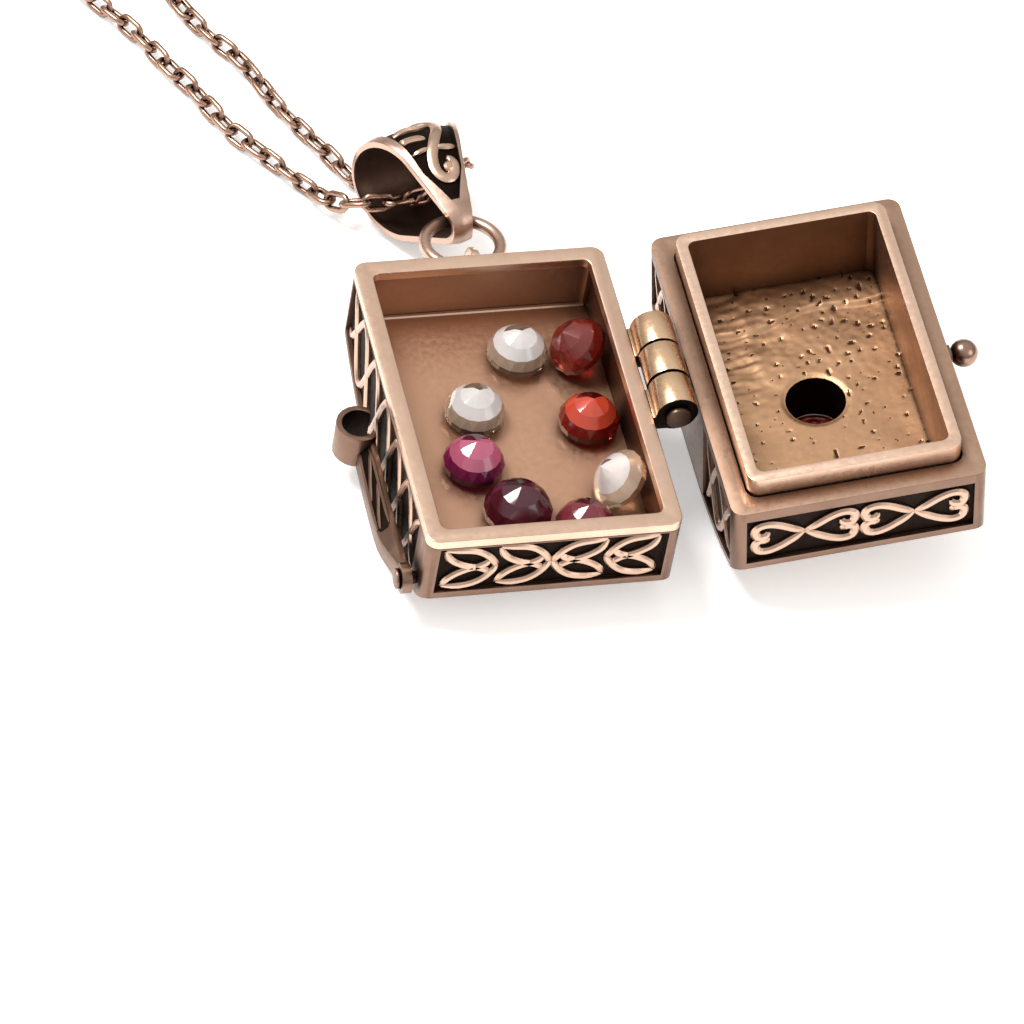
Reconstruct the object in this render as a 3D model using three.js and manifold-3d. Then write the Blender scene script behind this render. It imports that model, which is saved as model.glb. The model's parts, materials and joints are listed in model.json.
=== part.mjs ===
// Prayer box necklace, lying open on a table. Millimetres, +Z up.
// +X runs across from the tray to the lid, +Y runs towards the bail and chain.
// The origin is the middle of the flat under the tray, on the table.
import * as THREE from 'three';
import { mergeVertices } from 'three/addons/utils/BufferGeometryUtils.js';
import Module from 'manifold-3d';

const wasm = await Module();
wasm.setup();

// Box halves
const boxWidth = 16;
const boxLength = 23.2;
const wallDepth = 5.2;
const domeRise = 2.8;
const flatCut = 0.2;
const cornerRadius = 0.8;
const innerCornerRadius = 0.5;
const archSteps = 20;

// Tray
const trayWall = 0.7;
const trayDepth = 4.4;
const trayFloorThickness = 0.6;
const floorLedge = 0.6;
const domeThickness = 1;
const rimWidth = 1.05;
const rimHeight = 0.7;

// Lid
const lidStep = 1.28;
const lipThickness = 0.7;
const lipHeight = 1.4;
const lidDepth = 4.4;
const lidBoreRadius = 1.9;

// Recessed relief panels in the outer walls
const panelDepth = 0.3;
const panelTop = 0.8;
const panelFoot = 0.5;
const panelSide = 0.85;
const padMargin = 0.5;

// Hinge
const hingeOffset = 1.5;
const rimGap = 0.3;
const barrelRadius = 1.35;
const barrelLength = 7.5;
const hingeY = 0.8;
const knuckleGap = 0.2;
const leafThickness = 1.1;
const pinRadius = 0.45;
const pinClearance = 0.25;
const pinHeadRadius = 0.8;
const pinHeadThickness = 0.35;

// Ball stud and latch
const ballRadius = 0.9;
const ballOut = 1.15;
const ballDrop = 1.55;
const ballY = -0.6;
const studStemRadius = 0.42;
const studFootRadius = 0.7;
const studFootHeight = 0.25;
const latchGap = 0.4;
const latchThickness = 1.1;
const latchHalfWidth = 0.95;
const latchFootThickness = 0.6;
const latchFootHalfWidth = 0.7;
const latchFootShare = 0.35;
const latchStrip = 0.35;
const latchSlope = 0.8;
const latchBow = 0.6;
const latchPivotY = -10.3;
const latchPivotDrop = 4.6;
const latchEyeRadius = 0.95;
const rivetRadius = 0.4;
const rivetHeadRadius = 0.65;
const rivetHeadThickness = 0.2;
const hoodClearance = 0.2;
const hoodWall = 0.35;
const hoodHalfHeight = 1.2;

// Stone set in the lid's outer face
const faceStoneRadius = 2.2;
const faceTableRadius = 1.2;
const faceGirdleHeight = 0.72;
const facePavilion = 1.85;
const faceStoneProud = 1.3;
const girdleThickness = 0.12;
const bezelHeight = 1;
const bezelWall = 0.4;
const bezelLedge = 0.35;

// Loose stones in the tray
const stoneRadius = 1.92;
const stoneTableRadius = 1.1;
const stoneCrown = 0.5;
const stoneGirdle = 0.4;
const stonePavilion = 1.72;
const culetRadius = 0.08;

// Eye, jump ring and bail
const eyeDrop = 2;
const eyeWire = 0.25;
const linkClearance = 0.25;
const ringRadius = 2.4;
const ringWire = 0.4;
const ringTilt = THREE.MathUtils.degToRad(-8);
const bailTopRadius = 3.75;
const bailFootRadius = 1.5;
const bailReach = 4.8;
const bailThickness = 0.45;
const bailTopWidth = 7;
const bailFootWidth = 1.3;
const bailCrown = 0.6;
const bailTopSteps = 26;
const bailFootSteps = 10;
const bailCrossSteps = 8;
const bailYaw = THREE.MathUtils.degToRad(12);
const bailLift = 0.2;

// Chain
const chainDiameter = 1.4;
const turnDiameter = 0.9;
const endGap = 0.3;
const coilOuterRadius = 9.2;
const coilPitch = 1.9;
const coilTurns = 1.75;
const coilClimbTurns = 0.5;
const coilTailTurns = 0.25;
const coilTailOut = 2.6;
const coilTailDrop = 0.35;
const coilLayerGap = 0.45;
const coilStartY = 51.6;
const coilStepsPerTurn = 24;
const strandSides = 8;
const coilSides = 6;
const turnSteps = 12;

// Clasp
const claspThickness = 1.5;
const claspRingRadius = 1.55;
const claspRingWire = 0.3;
const clawRadius = 2.2;
const clawBore = 1.4;
const clawStemHalfWidth = 0.75;
const clawStemLength = 2.2;
const claspEyeRadius = 1.05;
const claspEyeBore = 0.6;
const claspEyeThickness = 0.6;
const claspPinRadius = 0.3;
const gateEnd = THREE.MathUtils.degToRad(125);
const leverPivot = THREE.MathUtils.degToRad(138);
const leverLength = 2.75;
const leverEyeRadius = 0.55;
const leverThickness = 0.6;
const leverSlack = 0.15;
const leverSlotClearance = 0.35;
const thumbRise = 0.7;
const thumbStart = THREE.MathUtils.degToRad(71);
const thumbEnd = THREE.MathUtils.degToRad(94);

// General clearances
const seatGap = 0.1;
const tableGap = 0.02;

const rimZ = wallDepth + domeRise - flatCut;
const axisX = boxWidth / 2 + hingeOffset;
const axisZ = rimZ + rimGap / 2;

const metals = {
  polished: { color: 0xe3b79a, roughness: 0.28, metalness: 1 },
  satin: { color: 0xc79a7a, roughness: 0.45, metalness: 1 },
  cast: { color: 0xb98a5e, roughness: 0.6, metalness: 1 },
  chain: { color: 0xb88b74, roughness: 0.35, metalness: 1 },
};

const part = new THREE.Group();

function addMesh(parent, name, geometry, look) {
  const mesh = new THREE.Mesh(geometry, new THREE.MeshStandardMaterial(look));
  mesh.name = name;
  parent.add(mesh);
  return mesh;
}

// Solids and joins
function toSolid(geometry) {
  const bare = geometry.clone();
  bare.deleteAttribute('normal');
  bare.deleteAttribute('uv');
  const merged = mergeVertices(bare, 1e-5);
  return new wasm.Manifold(new wasm.Mesh({
    numProp: 3,
    vertProperties: new Float32Array(merged.attributes.position.array),
    triVerts: new Uint32Array(merged.index.array),
  }));
}

function toGeometry(solid) {
  const mesh = solid.getMesh();
  const geometry = new THREE.BufferGeometry();
  geometry.setAttribute('position', new THREE.BufferAttribute(new Float32Array(mesh.vertProperties), 3));
  geometry.setIndex(new THREE.BufferAttribute(new Uint32Array(mesh.triVerts), 1));
  geometry.computeVertexNormals();
  return geometry;
}

function box(x0, x1, y0, y1, z0, z1) {
  const geometry = new THREE.BoxGeometry(x1 - x0, y1 - y0, z1 - z0);
  return geometry.translate((x0 + x1) / 2, (y0 + y1) / 2, (z0 + z1) / 2);
}

// A rounded rectangle centred on the origin
function roundedRectangle(width, length, radius) {
  const x = width / 2;
  const y = length / 2;
  const shape = new THREE.Shape();
  shape.moveTo(x - radius, -y);
  shape.absarc(x - radius, -y + radius, radius, -Math.PI / 2, 0);
  shape.absarc(x - radius, y - radius, radius, 0, Math.PI / 2);
  shape.absarc(-x + radius, y - radius, radius, Math.PI / 2, Math.PI);
  shape.absarc(-x + radius, -y + radius, radius, Math.PI, Math.PI * 1.5);
  return shape;
}

function slab(shape, z0, z1, curveSegments = 4) {
  const geometry = new THREE.ExtrudeGeometry(shape, { depth: z1 - z0, bevelEnabled: false, curveSegments });
  return geometry.translate(0, 0, z0);
}

// A (y, z) outline pulled along X
function slabAlongX(shape, x0, x1, curveSegments = 6) {
  const geometry = slab(shape, x0, x1, curveSegments);
  const axes = new THREE.Matrix4().makeBasis(
    new THREE.Vector3(0, 1, 0),
    new THREE.Vector3(0, 0, 1),
    new THREE.Vector3(1, 0, 0),
  );
  return geometry.applyMatrix4(axes);
}

function cylinderAlong(axis, radius, from, to, segments = 24) {
  const geometry = new THREE.CylinderGeometry(radius, radius, to - from, segments);
  geometry.translate(0, (from + to) / 2, 0);
  if (axis === 'x') geometry.rotateZ(-Math.PI / 2);
  if (axis === 'z') geometry.rotateX(Math.PI / 2);
  return geometry;
}

// A lathe outline of [radius, height] pairs, closed on the axis or on itself, turned about Z
function lathe(points, segments = 24) {
  const outline = points.map(([radius, height]) => new THREE.Vector2(radius, height));
  return new THREE.LatheGeometry(outline, segments).rotateX(Math.PI / 2);
}

function tube(points, radius, steps, sides) {
  const section = new THREE.Shape();
  for (let i = 0; i < sides; i += 1) {
    const angle = (i / sides) * Math.PI * 2;
    const x = radius * Math.cos(angle);
    const y = radius * Math.sin(angle);
    if (i === 0) section.moveTo(x, y);
    else section.lineTo(x, y);
  }
  const route = new THREE.CatmullRomCurve3(points, false, 'centripetal');
  return new THREE.ExtrudeGeometry(section, { steps, extrudePath: route, bevelEnabled: false });
}

// Joins rings of as many points each, given in order, into one closed surface
function loft(rings, closed) {
  const size = rings[0].length;
  const triangles = [];
  const spans = closed ? rings.length : rings.length - 1;
  for (let i = 0; i < spans; i += 1) {
    const near = i * size;
    const far = ((i + 1) % rings.length) * size;
    for (let j = 0; j < size; j += 1) {
      const next = (j + 1) % size;
      triangles.push(near + j, near + next, far + next, near + j, far + next, far + j);
    }
  }
  const last = (rings.length - 1) * size;
  for (let j = 1; !closed && j < size - 1; j += 1) {
    triangles.push(0, j + 1, j, last, last + j, last + j + 1);
  }
  const geometry = new THREE.BufferGeometry().setFromPoints(rings.flat());
  geometry.setIndex(triangles);
  geometry.computeVertexNormals();
  return geometry;
}

// The domed half box, in rim coordinates: the rim plane is z = 0 and the dome hangs below it
const archRadius = (boxLength ** 2 / 4 + domeRise ** 2) / (2 * domeRise);
const domeFlatZ = -(wallDepth + domeRise - flatCut);

function archZ(y) {
  return -(wallDepth + domeRise) + archRadius - Math.sqrt(archRadius ** 2 - y ** 2);
}

// The side outline between two lengths, from a top height down to the arch raised by an inset
function archOutline(y0, y1, top, inset) {
  const shape = new THREE.Shape();
  shape.moveTo(y0, top);
  for (let i = 0; i <= archSteps; i += 1) {
    const y = y0 + ((y1 - y0) * i) / archSteps;
    shape.lineTo(y, Math.max(archZ(y), domeFlatZ) + inset);
  }
  shape.lineTo(y1, top);
  return shape;
}

function halfBoxOuter() {
  const footprint = toSolid(slab(roundedRectangle(boxWidth, boxLength, cornerRadius), domeFlatZ - 1, 0));
  const outline = archOutline(-boxLength / 2, boxLength / 2, 1, 0);
  return footprint.intersect(toSolid(slabAlongX(outline, -boxWidth, boxWidth)));
}

// Cuts a recess into a side wall at side -1 or +1, between two lengths
function cutSidePanel(solid, side, y0, y1) {
  const outline = archOutline(y0, y1, -panelTop, panelFoot);
  const face = (side * boxWidth) / 2;
  const inner = face - side * panelDepth;
  const outer = face + side;
  return solid.subtract(toSolid(slabAlongX(outline, Math.min(inner, outer), Math.max(inner, outer))));
}

function cutEndPanel(solid, end, x0, x1) {
  const face = (end * boxLength) / 2;
  const inner = face - end * panelDepth;
  const outer = face + end;
  const foot = -wallDepth + panelFoot;
  const cutter = box(x0, x1, Math.min(inner, outer), Math.max(inner, outer), foot, -panelTop);
  return solid.subtract(toSolid(cutter));
}

const panelEndY = boxLength / 2 - panelSide;
const panelEndX = boxWidth / 2 - panelSide;
const hingePad = barrelLength / 2 + padMargin;
const studPad = studFootRadius + padMargin;
const eyePad = eyeWire + padMargin;
const latchPadY = latchPivotY + latchEyeRadius;

// Tray
const tray = new THREE.Group();
tray.position.set(0, 0, rimZ);
part.add(tray);

const trayInnerWidth = boxWidth - 2 * trayWall;
const trayInnerLength = boxLength - 2 * trayWall;
const plateBottom = -(trayDepth + trayFloorThickness);

function trayFootprint(inset) {
  return roundedRectangle(trayInnerWidth - 2 * inset, trayInnerLength - 2 * inset, innerCornerRadius);
}

function trayShell() {
  let shell = halfBoxOuter().subtract(toSolid(slab(trayFootprint(0), plateBottom, 1)));
  const lens = archOutline(-boxLength / 2, boxLength / 2, 0, domeThickness);
  const room = toSolid(slab(trayFootprint(floorLedge), domeFlatZ, -trayDepth));
  shell = shell.subtract(room.intersect(toSolid(slabAlongX(lens, -boxWidth, boxWidth))));
  shell = shell.subtract(toSolid(slab(roundedRectangle(boxWidth + 1, boxLength + 1, 1), -rimHeight, 1)));
  shell = cutSidePanel(shell, -1, latchPadY, panelEndY);
  shell = cutSidePanel(shell, 1, -panelEndY, hingeY - hingePad);
  shell = cutSidePanel(shell, 1, hingeY + hingePad, panelEndY);
  shell = cutEndPanel(shell, -1, -panelEndX, panelEndX);
  shell = cutEndPanel(shell, 1, -panelEndX, -eyePad);
  return cutEndPanel(shell, 1, eyePad, panelEndX);
}

function trayRim() {
  const outer = roundedRectangle(boxWidth, boxLength, cornerRadius);
  const opening = roundedRectangle(boxWidth - 2 * rimWidth, boxLength - 2 * rimWidth, innerCornerRadius);
  return toSolid(slab(outer, -rimHeight, 0)).subtract(toSolid(slab(opening, -rimHeight - 1, 1)));
}

addMesh(tray, 'tray_shell', toGeometry(trayShell()), metals.satin);
addMesh(tray, 'tray_rim', toGeometry(trayRim()), metals.polished);
addMesh(tray, 'tray_floor', slab(trayFootprint(0), plateBottom, -trayDepth), metals.satin);

// Hinge, in coordinates on the hinge axis
const hinge = new THREE.Group();
hinge.position.set(axisX, 0, axisZ);
part.add(hinge);

const knuckleLength = (barrelLength - 2 * knuckleGap) / 3;
const barrelStart = hingeY - barrelLength / 2;

function knuckleSpan(index) {
  const start = barrelStart + index * (knuckleLength + knuckleGap);
  return [start, start + knuckleLength];
}

// A knuckle with its leaf, which runs from the barrel to the wall on one side
function knuckle(index, side, wallGap) {
  const [y0, y1] = knuckleSpan(index);
  const wall = side * (hingeOffset - wallGap);
  const leafTop = -rimGap / 2;
  const leaf = box(Math.min(0, wall), Math.max(0, wall), y0, y1, leafTop - leafThickness, leafTop);
  const body = toSolid(cylinderAlong('y', barrelRadius, y0, y1)).add(toSolid(leaf));
  const bore = toSolid(cylinderAlong('y', pinRadius + pinClearance, y0 - 1, y1 + 1, 16));
  return toGeometry(body.subtract(bore));
}

addMesh(hinge, 'tray_knuckle_near', knuckle(0, -1, 0), metals.polished);
addMesh(hinge, 'tray_knuckle_far', knuckle(2, -1, 0), metals.polished);

function hingePin() {
  const half = barrelLength / 2 + seatGap;
  const end = half + pinHeadThickness;
  const outline = [
    [0, -end], [pinHeadRadius, -end], [pinHeadRadius, -half], [pinRadius, -half],
    [pinRadius, half], [pinHeadRadius, half], [pinHeadRadius, end], [0, end],
  ];
  return lathe(outline, 16).rotateX(-Math.PI / 2).translate(0, hingeY, 0);
}

addMesh(hinge, 'hinge_pin', hingePin(), metals.satin);

// Lid, tilted so that the stone in its outer face lies on the table
const stoneLever = hingeOffset + boxWidth / 2 - faceTableRadius;
const stoneHang = rimGap / 2 - domeFlatZ + faceStoneProud;
const stoneReach = Math.hypot(stoneLever, stoneHang);
const lidTilt = Math.atan2(stoneHang, stoneLever) - Math.asin((axisZ - tableGap) / stoneReach);

const lidSwing = new THREE.Group();
lidSwing.position.set(axisX, 0, axisZ);
lidSwing.rotation.y = -lidTilt;
part.add(lidSwing);
addMesh(lidSwing, 'lid_knuckle', knuckle(1, 1, seatGap), metals.polished);

const lid = new THREE.Group();
lid.position.set(hingeOffset + boxWidth / 2, 0, -rimGap / 2);
lidSwing.add(lid);

const lipWidth = boxWidth - 2 * lidStep;
const lipLength = boxLength - 2 * lidStep;

function lidShell() {
  const pocket = roundedRectangle(lipWidth + 2 * seatGap, lipLength + 2 * seatGap, cornerRadius);
  let shell = halfBoxOuter().subtract(toSolid(slab(pocket, -lidDepth, 1)));
  shell = shell.subtract(toSolid(cylinderAlong('z', lidBoreRadius, domeFlatZ - 1, 0)));
  shell = cutSidePanel(shell, -1, -panelEndY, hingeY - hingePad);
  shell = cutSidePanel(shell, -1, hingeY + hingePad, panelEndY);
  shell = cutSidePanel(shell, 1, -panelEndY, ballY - studPad);
  shell = cutSidePanel(shell, 1, ballY + studPad, panelEndY);
  shell = cutEndPanel(shell, -1, -panelEndX, panelEndX);
  return cutEndPanel(shell, 1, -panelEndX, panelEndX);
}

function lidLip() {
  const outer = roundedRectangle(lipWidth, lipLength, cornerRadius);
  const innerWidth = lipWidth - 2 * lipThickness;
  const innerLength = lipLength - 2 * lipThickness;
  const opening = roundedRectangle(innerWidth, innerLength, innerCornerRadius);
  const bottom = -lidDepth + seatGap;
  return toSolid(slab(outer, bottom, lipHeight)).subtract(toSolid(slab(opening, bottom - 1, lipHeight + 1)));
}

// The ball on its stem, pointing along +X from the lid's outer wall
function ballStud() {
  const outline = [
    [0, 0], [studFootRadius, 0], [studFootRadius, studFootHeight], [studStemRadius, studFootHeight],
  ];
  const neck = Math.asin(studStemRadius / ballRadius);
  const ballSteps = 8;
  for (let i = 0; i <= ballSteps; i += 1) {
    const angle = neck + ((Math.PI - neck) * i) / ballSteps;
    const radius = i === ballSteps ? 0 : ballRadius * Math.sin(angle);
    outline.push([radius, ballOut - ballRadius * Math.cos(angle)]);
  }
  return lathe(outline, 20).rotateY(Math.PI / 2).translate(boxWidth / 2 + seatGap, ballY, -ballDrop);
}

// Bezel and stone hang under the dome, so both outlines run downwards from its flat
function bezel() {
  const inner = faceStoneRadius + seatGap;
  const outer = inner + bezelWall;
  const outline = [
    [lidBoreRadius, 0], [outer, 0], [outer, bezelHeight], [inner, bezelHeight],
    [inner, bezelLedge], [lidBoreRadius, bezelLedge], [lidBoreRadius, 0],
  ];
  return lathe(outline, 24).rotateX(Math.PI).translate(0, 0, domeFlatZ - seatGap);
}

function faceStone() {
  const girdle = faceGirdleHeight;
  const outline = [
    [0, girdle - facePavilion], [faceStoneRadius, girdle], [faceStoneRadius, girdle + girdleThickness],
    [faceTableRadius, faceStoneProud], [0, faceStoneProud],
  ];
  return lathe(outline, 16).rotateX(Math.PI).translate(0, 0, domeFlatZ);
}

addMesh(lid, 'lid_shell', toGeometry(lidShell()), metals.cast);
addMesh(lid, 'lid_lip', toGeometry(lidLip()), metals.polished);
addMesh(lid, 'ball_stud', ballStud(), metals.polished);
addMesh(lid, 'face_bezel', bezel(), metals.polished);
addMesh(lid, 'face_stone', faceStone(), { color: 0x5a0c12, roughness: 0.05, metalness: 0 });

// Latch arm, drawn in the (y, z) plane about its rivet with the head along +Y
const ballRise = rimGap + ballDrop;
const latchReach = Math.hypot(ballY - latchPivotY, latchPivotDrop + ballRise);

const latchInner = -(boxWidth / 2 + latchGap);

// Bowed downwards, with a flat strip beside the wall and a slope from it down to the outer edge
function latchBand() {
  const steps = 16;
  const rings = [];
  for (let i = 0; i <= steps; i += 1) {
    const t = i / steps;
    const full = THREE.MathUtils.smoothstep(t, 0, latchFootShare);
    const thickness = THREE.MathUtils.lerp(latchFootThickness, latchThickness, full);
    const half = THREE.MathUtils.lerp(latchFootHalfWidth, latchHalfWidth, full);
    const middle = -4 * latchBow * t * (1 - t);
    const outer = latchInner - thickness;
    const section = [
      [latchInner, half], [latchInner, -half], [outer, -half],
      [outer, half - latchSlope * full], [latchInner - latchStrip, half],
    ];
    rings.push(section.map(([x, z]) => new THREE.Vector3(x, latchReach * t, middle + z)));
  }
  return loft(rings, false);
}

function latchArm() {
  const inner = latchInner;
  const eyeOuter = inner - latchFootThickness;
  const ballX = -(boxWidth / 2 + seatGap + ballOut);
  const hoodBore = ballRadius + hoodClearance;
  const hoodOuter = hoodBore + hoodWall;
  const high = hoodHalfHeight;
  const band = toSolid(latchBand());
  const eye = toSolid(cylinderAlong('x', latchEyeRadius, eyeOuter, inner, 20));
  const hood = toSolid(cylinderAlong('z', hoodOuter, -high, high, 20).translate(ballX, latchReach, 0));
  const wallSide = toSolid(box(inner, 0, latchReach - hoodOuter, latchReach + hoodOuter, -high, high));
  const bore = toSolid(cylinderAlong('z', hoodBore, -2 * high, 2 * high, 20).translate(ballX, latchReach, 0));
  const rivetHole = toSolid(cylinderAlong('x', rivetRadius + pinClearance, eyeOuter - 1, inner + 1, 16));
  return toGeometry(band.add(eye).add(hood).subtract(wallSide).subtract(bore).subtract(rivetHole));
}

const latch = new THREE.Group();
latch.position.set(0, latchPivotY, rimZ - latchPivotDrop);
part.add(latch);
addMesh(latch, 'latch_arm', latchArm(), metals.satin);

function latchRivet() {
  const armOuter = latchGap + latchFootThickness + seatGap;
  const top = armOuter + rivetHeadThickness;
  const outline = [
    [0, 0], [rivetRadius, 0], [rivetRadius, armOuter],
    [rivetHeadRadius, armOuter], [rivetHeadRadius, top], [0, top],
  ];
  return lathe(outline, 16).rotateY(-Math.PI / 2).translate(-boxWidth / 2, latchPivotY, -latchPivotDrop);
}

addMesh(tray, 'latch_rivet', latchRivet(), metals.polished);

// Loose stones, lying on their tables with the points up: name, distance from the hinge-side wall and y,
// both in stone radii, size against the common one, colour
const innerWallX = boxWidth / 2 - trayWall;
const looseStones = [
  ['stone_clear_far', 2.8, 3.39, 1, 0xf4efe6],
  ['stone_clear_left', 4.74, 0.99, 1, 0xf4efe6],
  ['stone_pink', 5.23, -1.17, 1, 0xc2477f],
  ['stone_orange', 1.1, 0.26, 1, 0xd8391f],
  ['stone_purple', 4.25, -3.33, 1.12, 0x5b1330],
  ['stone_rose', 2.2, -4.2, 1, 0x8f2345],
];

// The pavilion swells outwards: shares of the radius and of the pavilion's height
const pavilionCurve = [[0.84, 0.36], [0.56, 0.71]];

function looseStone(size = 1) {
  const girdleTop = stoneCrown + stoneGirdle;
  const swell = pavilionCurve.map(([r, h]) => [stoneRadius * r, girdleTop + stonePavilion * h]);
  const outline = [
    [0, 0], [stoneTableRadius, 0], [stoneRadius, stoneCrown], [stoneRadius, girdleTop], ...swell,
    [culetRadius, girdleTop + stonePavilion], [0, girdleTop + stonePavilion],
  ];
  return lathe(outline.map(([radius, height]) => [radius * size, height * size]), 16);
}

function stoneLook(color) {
  return { color, roughness: 0.05, metalness: 0 };
}

for (const [name, fromWall, along, size, color] of looseStones) {
  const stone = addMesh(tray, name, looseStone(size), stoneLook(color));
  stone.position.set(innerWallX - fromWall * stoneRadius, along * stoneRadius, -trayDepth);
}

// Two stones lean on the hinge-side wall: name, y in stone radii, lean in degrees, colour
const leaningStones = [
  ['stone_red', 3.05, 40, 0x9c1f16],
  ['stone_clear_near', -2.75, 46, 0xf4efe6],
];

for (const [name, along, leanDegrees, color] of leaningStones) {
  const lean = THREE.MathUtils.degToRad(leanDegrees);
  const stone = addMesh(tray, name, looseStone(), stoneLook(color));
  const girdleReach = stoneRadius * Math.cos(lean) - stoneCrown * Math.sin(lean);
  const reachX = Math.max(girdleReach, stoneTableRadius * Math.cos(lean));
  const reachZ = stoneRadius * Math.sin(lean) - stoneCrown * Math.cos(lean);
  stone.rotation.y = -lean;
  stone.position.set(innerWallX - seatGap - reachX, along * stoneRadius, -trayDepth + seatGap + reachZ);
}

// Eye on the far wall, jump ring and bail
const eyeZ = rimZ - eyeDrop;
const farWallY = boxLength / 2;

const ringSeat = ringWire + linkClearance;
const eyeInner = ringSeat + ringWire + linkClearance;

function wallEye() {
  const outer = eyeInner + 2 * eyeWire;
  const shape = new THREE.Shape();
  shape.moveTo(farWallY, eyeZ - outer);
  shape.absarc(farWallY, eyeZ, outer, -Math.PI / 2, Math.PI / 2);
  shape.lineTo(farWallY, eyeZ + eyeInner);
  shape.absarc(farWallY, eyeZ, eyeInner, Math.PI / 2, -Math.PI / 2, true);
  return slabAlongX(shape, -eyeWire, eyeWire, 10);
}

addMesh(part, 'wall_eye', wallEye(), metals.polished);

const ringHinge = new THREE.Vector3(0, farWallY + ringSeat, eyeZ);
const ringAway = new THREE.Vector3(0, Math.cos(ringTilt), Math.sin(ringTilt));
const ringCentre = ringHinge.clone().addScaledVector(ringAway, ringRadius);
const bailHinge = ringHinge.clone().addScaledVector(ringAway, 2 * ringRadius);

const ringGeometry = new THREE.TorusGeometry(ringRadius, ringWire, 8, 28);
const jumpRing = addMesh(part, 'jump_ring', ringGeometry, metals.polished);
jumpRing.position.copy(ringCentre);
jumpRing.rotation.x = ringTilt;

// The bail's band: round two circles and their tangents, wider and more crowned towards the top circle
function bailLoop() {
  const touch = Math.acos((bailFootRadius - bailTopRadius) / bailReach);
  const spots = [];
  for (let i = 0; i <= bailTopSteps; i += 1) {
    spots.push([bailReach, bailTopRadius, touch * ((2 * i) / bailTopSteps - 1)]);
  }
  for (let i = 0; i <= bailFootSteps; i += 1) {
    spots.push([0, bailFootRadius, touch + ((2 * Math.PI - 2 * touch) * i) / bailFootSteps]);
  }
  const length = bailFootRadius + bailReach + bailTopRadius;
  const rings = spots.map(([centre, radius, angle]) => {
    const along = (centre + radius * Math.cos(angle) + bailFootRadius) / length;
    const half = THREE.MathUtils.lerp(bailFootWidth, bailTopWidth, along) / 2;
    const crown = (bailCrown * half * 2) / bailTopWidth;
    const across = (share, inset) => {
      const reach = radius - inset - crown * share ** 2;
      return new THREE.Vector3(half * share, centre + reach * Math.cos(angle), reach * Math.sin(angle));
    };
    const shares = [];
    for (let k = -bailCrossSteps; k <= bailCrossSteps; k += 2) shares.push(k / bailCrossSteps);
    const innerFace = shares.map((share) => across(share, bailThickness));
    const outerFace = shares.reverse().map((share) => across(share, 0));
    return [...innerFace, ...outerFace];
  });
  return loft(rings, true);
}

// The bail leans down from the ring until its back lies just over the table
const bailPitch = Math.asin((bailTopRadius + bailLift - bailHinge.z) / bailReach);
const bail = addMesh(part, 'bail', bailLoop(), metals.polished);
bail.position.copy(bailHinge);
bail.rotation.set(bailPitch, 0, bailYaw, 'ZXY');

// Chain: routes on the table, from the bail to the coils
const tableZ = chainDiameter / 2 + tableGap;

function routePoints(list) {
  return list.map(([x, y, z = tableZ]) => new THREE.Vector3(x, y, z));
}

const lowerRoute = routePoints([
  [-0.9, 22.1, 2.05], [-2.8, 21.6, 2.3], [-4.35, 21.55, 2.4], [-5.65, 22.15, 1.85],
  [-6.5, 23.25, 1.15], [-7.2, 24.4, 0.85], [-8.2, 25.8], [-9.9, 28.2],
  [-11.1, 29.8], [-12, 31.5], [-13.3, 34.4], [-14.2, 35.9], [-15, 37.6],
  [-16.2, 39.9], [-17.8, 42.3], [-19.2, 44.8], [-20, 47.3], [-20.3, 49.9],
]);
const upperRoute = routePoints([
  [-0.7, 26], [-1.9, 25.6], [-3.2, 25.2], [-4.3, 25.3], [-5, 26.5], [-5.7, 27.9], [-6.5, 29.3], [-7.9, 32.1],
  [-9.1, 35.3], [-9.9, 36.9], [-11, 38.5], [-12.1, 40.6], [-13, 43], [-13.4, 46], [-13.5, 49.9],
]);
const turnRoute = routePoints([
  [-0.3, 22.3, 2], [0.8, 23, 2.15], [1.8, 23.65, 2.6], [2.6, 24.55, 2.2], [2.1, 25.7, 1.45],
  [0.8, 26.3, 0.9], [-0.1, 26.25, 0.65],
]);

const coilLayerRise = chainDiameter + coilLayerGap;

// A coil of two layers that spirals in, climbs and spirals out, then comes down to the table.
// It starts heading +Y, and turn is +1 for anticlockwise or -1 for clockwise.
function coilPoints(startX, turn) {
  const centre = new THREE.Vector2(startX - turn * coilOuterRadius, coilStartY);
  const reversal = coilTurns + coilClimbTurns / 2;
  const layered = 2 * reversal;
  const total = layered + coilTailTurns;
  const count = Math.round(total * coilStepsPerTurn);
  const points = [];
  for (let i = 0; i <= count; i += 1) {
    const turns = (total * i) / count;
    const climb = THREE.MathUtils.clamp((turns - coilTurns) / coilClimbTurns, 0, 1);
    const tail = THREE.MathUtils.clamp((turns - layered) / coilTailTurns, 0, 1);
    const wound = reversal - Math.abs(Math.min(turns, layered) - reversal);
    const radius = coilOuterRadius - coilPitch * wound + coilTailOut * THREE.MathUtils.smoothstep(tail, 0, 1);
    const drop = THREE.MathUtils.smoothstep(tail, coilTailDrop, 1);
    const height = THREE.MathUtils.smoothstep(climb, 0, 1) - drop;
    const angle = turns * Math.PI * 2;
    points.push(new THREE.Vector3(
      centre.x + turn * radius * Math.cos(angle),
      centre.y + radius * Math.sin(angle),
      tableZ + coilLayerRise * height,
    ));
  }
  const first = points[0];
  points.unshift(new THREE.Vector3(first.x, first.y - chainDiameter, first.z));
  const last = points[points.length - 1];
  points.push(new THREE.Vector3(last.x - turn * chainDiameter, last.y, last.z));
  return points;
}

function routeLength(points) {
  return new THREE.CatmullRomCurve3(points, false, 'centripetal').getLength();
}

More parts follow.
